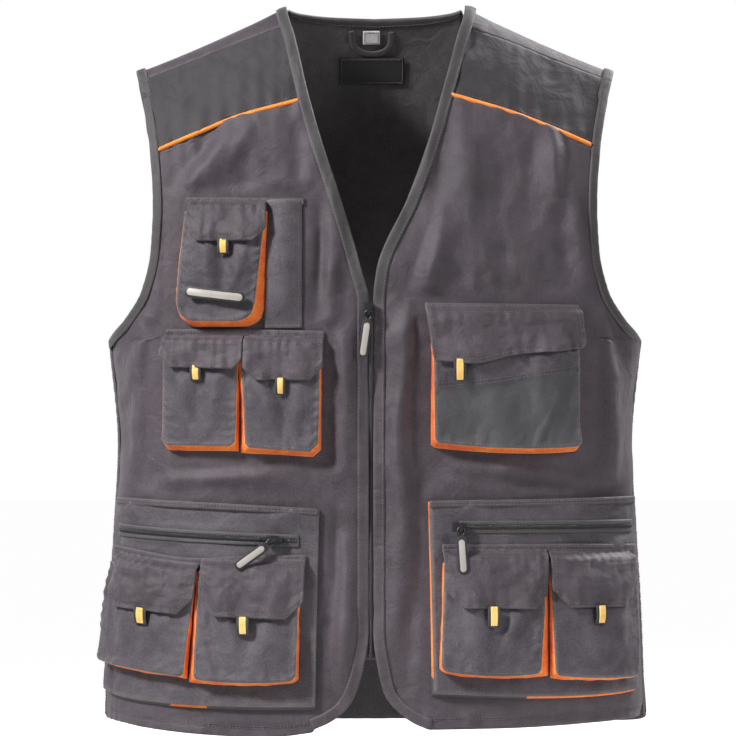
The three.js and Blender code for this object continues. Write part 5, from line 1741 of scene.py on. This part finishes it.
# Rings of one outline, drawn in and lifted ring by ring, closed by a fan at each end
def turned(name, rings, frameAt, material, body, nodes=()):
    count = len(rings[0][0])
    levels = [np.concatenate([outline, np.full((count, 1), height)], -1) for outline, height in rings]
    centres = [level.mean(axis=0) for level in (levels[0], levels[-1])]
    points = np.concatenate(levels + [centres])
    ring = np.arange(count)
    following = (ring + 1) % count
    faces = []
    for low in np.arange(len(rings) - 1) * count:
        faces += (low + np.stack([ring, following, count + following, count + ring], -1)).tolist()
    total, last = len(rings) * count, (len(rings) - 1) * count
    faces += np.stack([following, ring, np.full(count, total)], -1).tolist()
    faces += np.stack([last + ring, last + following, np.full(count, total + 1)], -1).tolist()
    mesh = bpy.data.meshes.new(name)
    mesh.from_pydata((frameAt(points) * mm).tolist(), [], faces)
    mesh.polygons.foreach_set("use_smooth", np.ones(len(mesh.polygons), dtype=bool))
    mesh.set_sharp_from_angle(angle=math.radians(40))
    mesh.materials.append(material)
    piece = bpy.data.objects.new(name, mesh)
    bpy.context.collection.objects.link(piece)
    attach(piece, body)
    if nodes:
        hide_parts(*nodes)


# The rings of a plate with bevelled edges: how far each is drawn in, and its height
def plateRings(half, top, bottom, low, high, bevel):
    rings = [(bevel, low), (0.0, low + bevel), (0.0, high - bevel)]
    rings += [(bevel * 0.3, high - bevel * 0.3), (bevel, high)]
    return [(stadium(half - by, top - by, bottom + by, 14), height) for by, height in rings]


def pull(word, joint):
    spot = np.array(joint["pos_m"]) / mm
    axis = unit(np.array(joint["axis"], dtype=float))
    solid = bpy.data.objects[word + "_zip_pull"]
    corners = np.array([list(solid.matrix_world @ v.co) for v in solid.data.vertices]) / mm
    far = corners[np.argsort(np.linalg.norm(corners - spot, axis=-1))[-6:]].mean(axis=0) - spot
    down = unit(far - axis * np.dot(far, axis))
    out = unit(np.cross(down, axis))
    if out[1] > 0:
        out = -out
    side = np.cross(-down, out)

    def frameAt(p):
        return spot + p[:, 0:1] * side - p[:, 1:2] * down + p[:, 2:3] * out

    s, body = pullSettings, word + "_pull"
    rings = plateRings(s["width"] / 2, *s["frame"], -1.0, 1.0, 0.6)
    turned(word + "PullFrame", rings, frameAt, darkRubber, body, [word + "_zip_pull"])
    rings = plateRings(s["plateHalf"], *s["plate"], 0.8, 1.35, 0.3)
    turned(word + "PullPlate", rings, frameAt, palePlate, body)
    pullEye(word + "PullEye", frameAt, body)


# The eye: a wire loop from the frame round the bail
def pullEye(name, frameAt, body):
    s = eyeSettings
    t = np.linspace(0, 2 * math.pi, s["steps"], endpoint=False)
    width = s["half"] * np.sin(t) * (1 + 0.12 * np.cos(t))
    route = np.stack([width, -s["tall"] + s["tall"] * np.cos(t), 0.0 * t], -1)
    along = unit(np.roll(route, -1, 0) - np.roll(route, 1, 0))
    upright = np.array([0.0, 0.0, 1.0])
    normal = np.cross(along, upright)
    a = np.linspace(0, 2 * math.pi, s["sides"], endpoint=False)
    points = route[:, None] + normal[:, None] * (s["wire"] * np.cos(a))[None, :, None]
    points = points + (upright * s["wire"])[None, None] * np.sin(a)[None, :, None]
    ring, seg = np.meshgrid(np.arange(s["steps"]), np.arange(s["sides"]), indexing="ij")
    nextRing, nextSeg = (ring + 1) % s["steps"], (seg + 1) % s["sides"]
    corners = [(nextRing, seg), (nextRing, nextSeg), (ring, nextSeg), (ring, seg)]
    faces = np.stack([r * s["sides"] + q for r, q in corners], -1).reshape(-1, 4)
    eye = meshPiece(name, frameAt(points.reshape(-1, 3)), faces, None, [darkMetal], body=body)


for joint in frame["joints"]:
    pull(joint["name"].split("_")[0], joint)
for word in ("front", "right", "left"):
    slider = bpy.data.objects[word + "_zip_slider"]
    slider.data.materials.clear()
    slider.data.materials.append(darkMetal)
print("pulls and sliders made")


# Badge on the phone pocket: a bare pale plate with a dark edge
badgeSettings = dict(middle=(-157.5, -290.5), long=29.5, half=5.6, edge=2.1, turn=-7.0, proud=5.6)


def badge():
    s = badgeSettings
    pocket = pockets["phone_pocket"]
    turn = math.radians(s["turn"])

    def frameAt(p):
        x = s["middle"][0] + p[:, 1] * math.cos(turn) + p[:, 0] * math.sin(turn)
        z = s["middle"][1] + p[:, 1] * math.sin(turn) - p[:, 0] * math.cos(turn)
        angle = angleFor(x, z, liftOf(pocket, "outer", z))
        return onSkin(-1, angle, z, liftOf(pocket, "outer", z) + s["proud"] + p[:, 2])

    rings = plateRings(s["half"], s["long"], -s["long"], 0.3, 1.9, 0.4)
    turned("badgeFrame", rings, frameAt, darkRubber, garment, ["phone_pocket_badge"])
    half, long = s["half"] - s["edge"], s["long"] - s["edge"]
    rings = plateRings(half, long, -long, 1.7, 2.3, 0.3)
    turned("badgePlate", rings, frameAt, palePlate, garment)


badge()
makeStitches()


# Floor and light: the floor and the surroundings show white, as on a studio table lit from below
stageSettings = dict(floor=-0.80, half=14.0, glow=0.9)


def makeStage():
    s = stageSettings
    half = s["half"]
    points = [(x, y, s["floor"]) for x, y in ((-half, -half), (half, -half), (half, half), (-half, half))]
    mesh = bpy.data.meshes.new("floor")
    mesh.from_pydata(points, [], [(0, 1, 2, 3)])
    material = bpy.data.materials.new("paleFloor")
    material.use_nodes = True
    tree = material.node_tree
    shader = tree.nodes["Principled BSDF"]
    shader.inputs["Base Color"].default_value = (0.75, 0.75, 0.75, 1.0)
    shader.inputs["Roughness"].default_value = 0.9
    shader.inputs["Emission Color"].default_value = (1.0, 1.0, 1.0, 1.0)
    path = tree.nodes.new("ShaderNodeLightPath")
    glow = mathNode(tree, "MULTIPLY", path.outputs["Is Camera Ray"], s["glow"])
    tree.links.new(glow, shader.inputs["Emission Strength"])
    mesh.materials.append(material)
    floor = bpy.data.objects.new("floor", mesh)
    bpy.context.collection.objects.link(floor)


lights = {
    "key": dict(place=(-2.7, -1.8, 2.0), aim=(0.0, 0.0, -0.46), size=0.7, power=18.6, spread=50.0),
    "fill": dict(place=(2.3, -1.5, 1.0), aim=(0.0, 0.0, -0.36), size=0.9, power=3.6, spread=60.0),
    "front": dict(place=(0.3, -3.6, 1.4), aim=(0.0, 0.0, -0.36), size=1.4, power=0.8, spread=60.0),
    "back": dict(place=(2.0, 1.4, 1.9), aim=(0.0, 0.0, -0.36), size=0.7, power=17.0, spread=60.0),
    "backFill": dict(place=(-2.0, 2.2, 0.6), aim=(0.0, 0.0, -0.36), size=1.0, power=4.0, spread=60.0),
}
worldSettings = dict(seen=1.0, lit=0.11)


def makeLights():
    for name, s in lights.items():
        data = bpy.data.lights.new(name, "AREA")
        data.size = s["size"]
        data.energy = s["power"]
        data.spread = math.radians(s["spread"])
        lamp = bpy.data.objects.new(name, data)
        lamp.location = s["place"]
        aim = Vector(s["aim"]) - Vector(s["place"])
        lamp.rotation_euler = aim.to_track_quat("-Z", "Y").to_euler()
        bpy.context.collection.objects.link(lamp)
    world = bpy.data.worlds.new("studio")
    world.use_nodes = True
    tree = world.node_tree
    path = tree.nodes.new("ShaderNodeLightPath")
    lit = worldSettings["lit"]
    seen = mathNode(tree, "MULTIPLY", path.outputs["Is Camera Ray"], worldSettings["seen"] - lit)
    background = tree.nodes["Background"]
    background.inputs["Color"].default_value = (1.0, 1.0, 1.0, 1.0)
    tree.links.new(mathNode(tree, "ADD", seen, lit), background.inputs["Strength"])
    bpy.context.scene.world = world
    bpy.context.scene.view_settings.view_transform = "Standard"


makeStage()
makeLights()
print("stage and lights made")
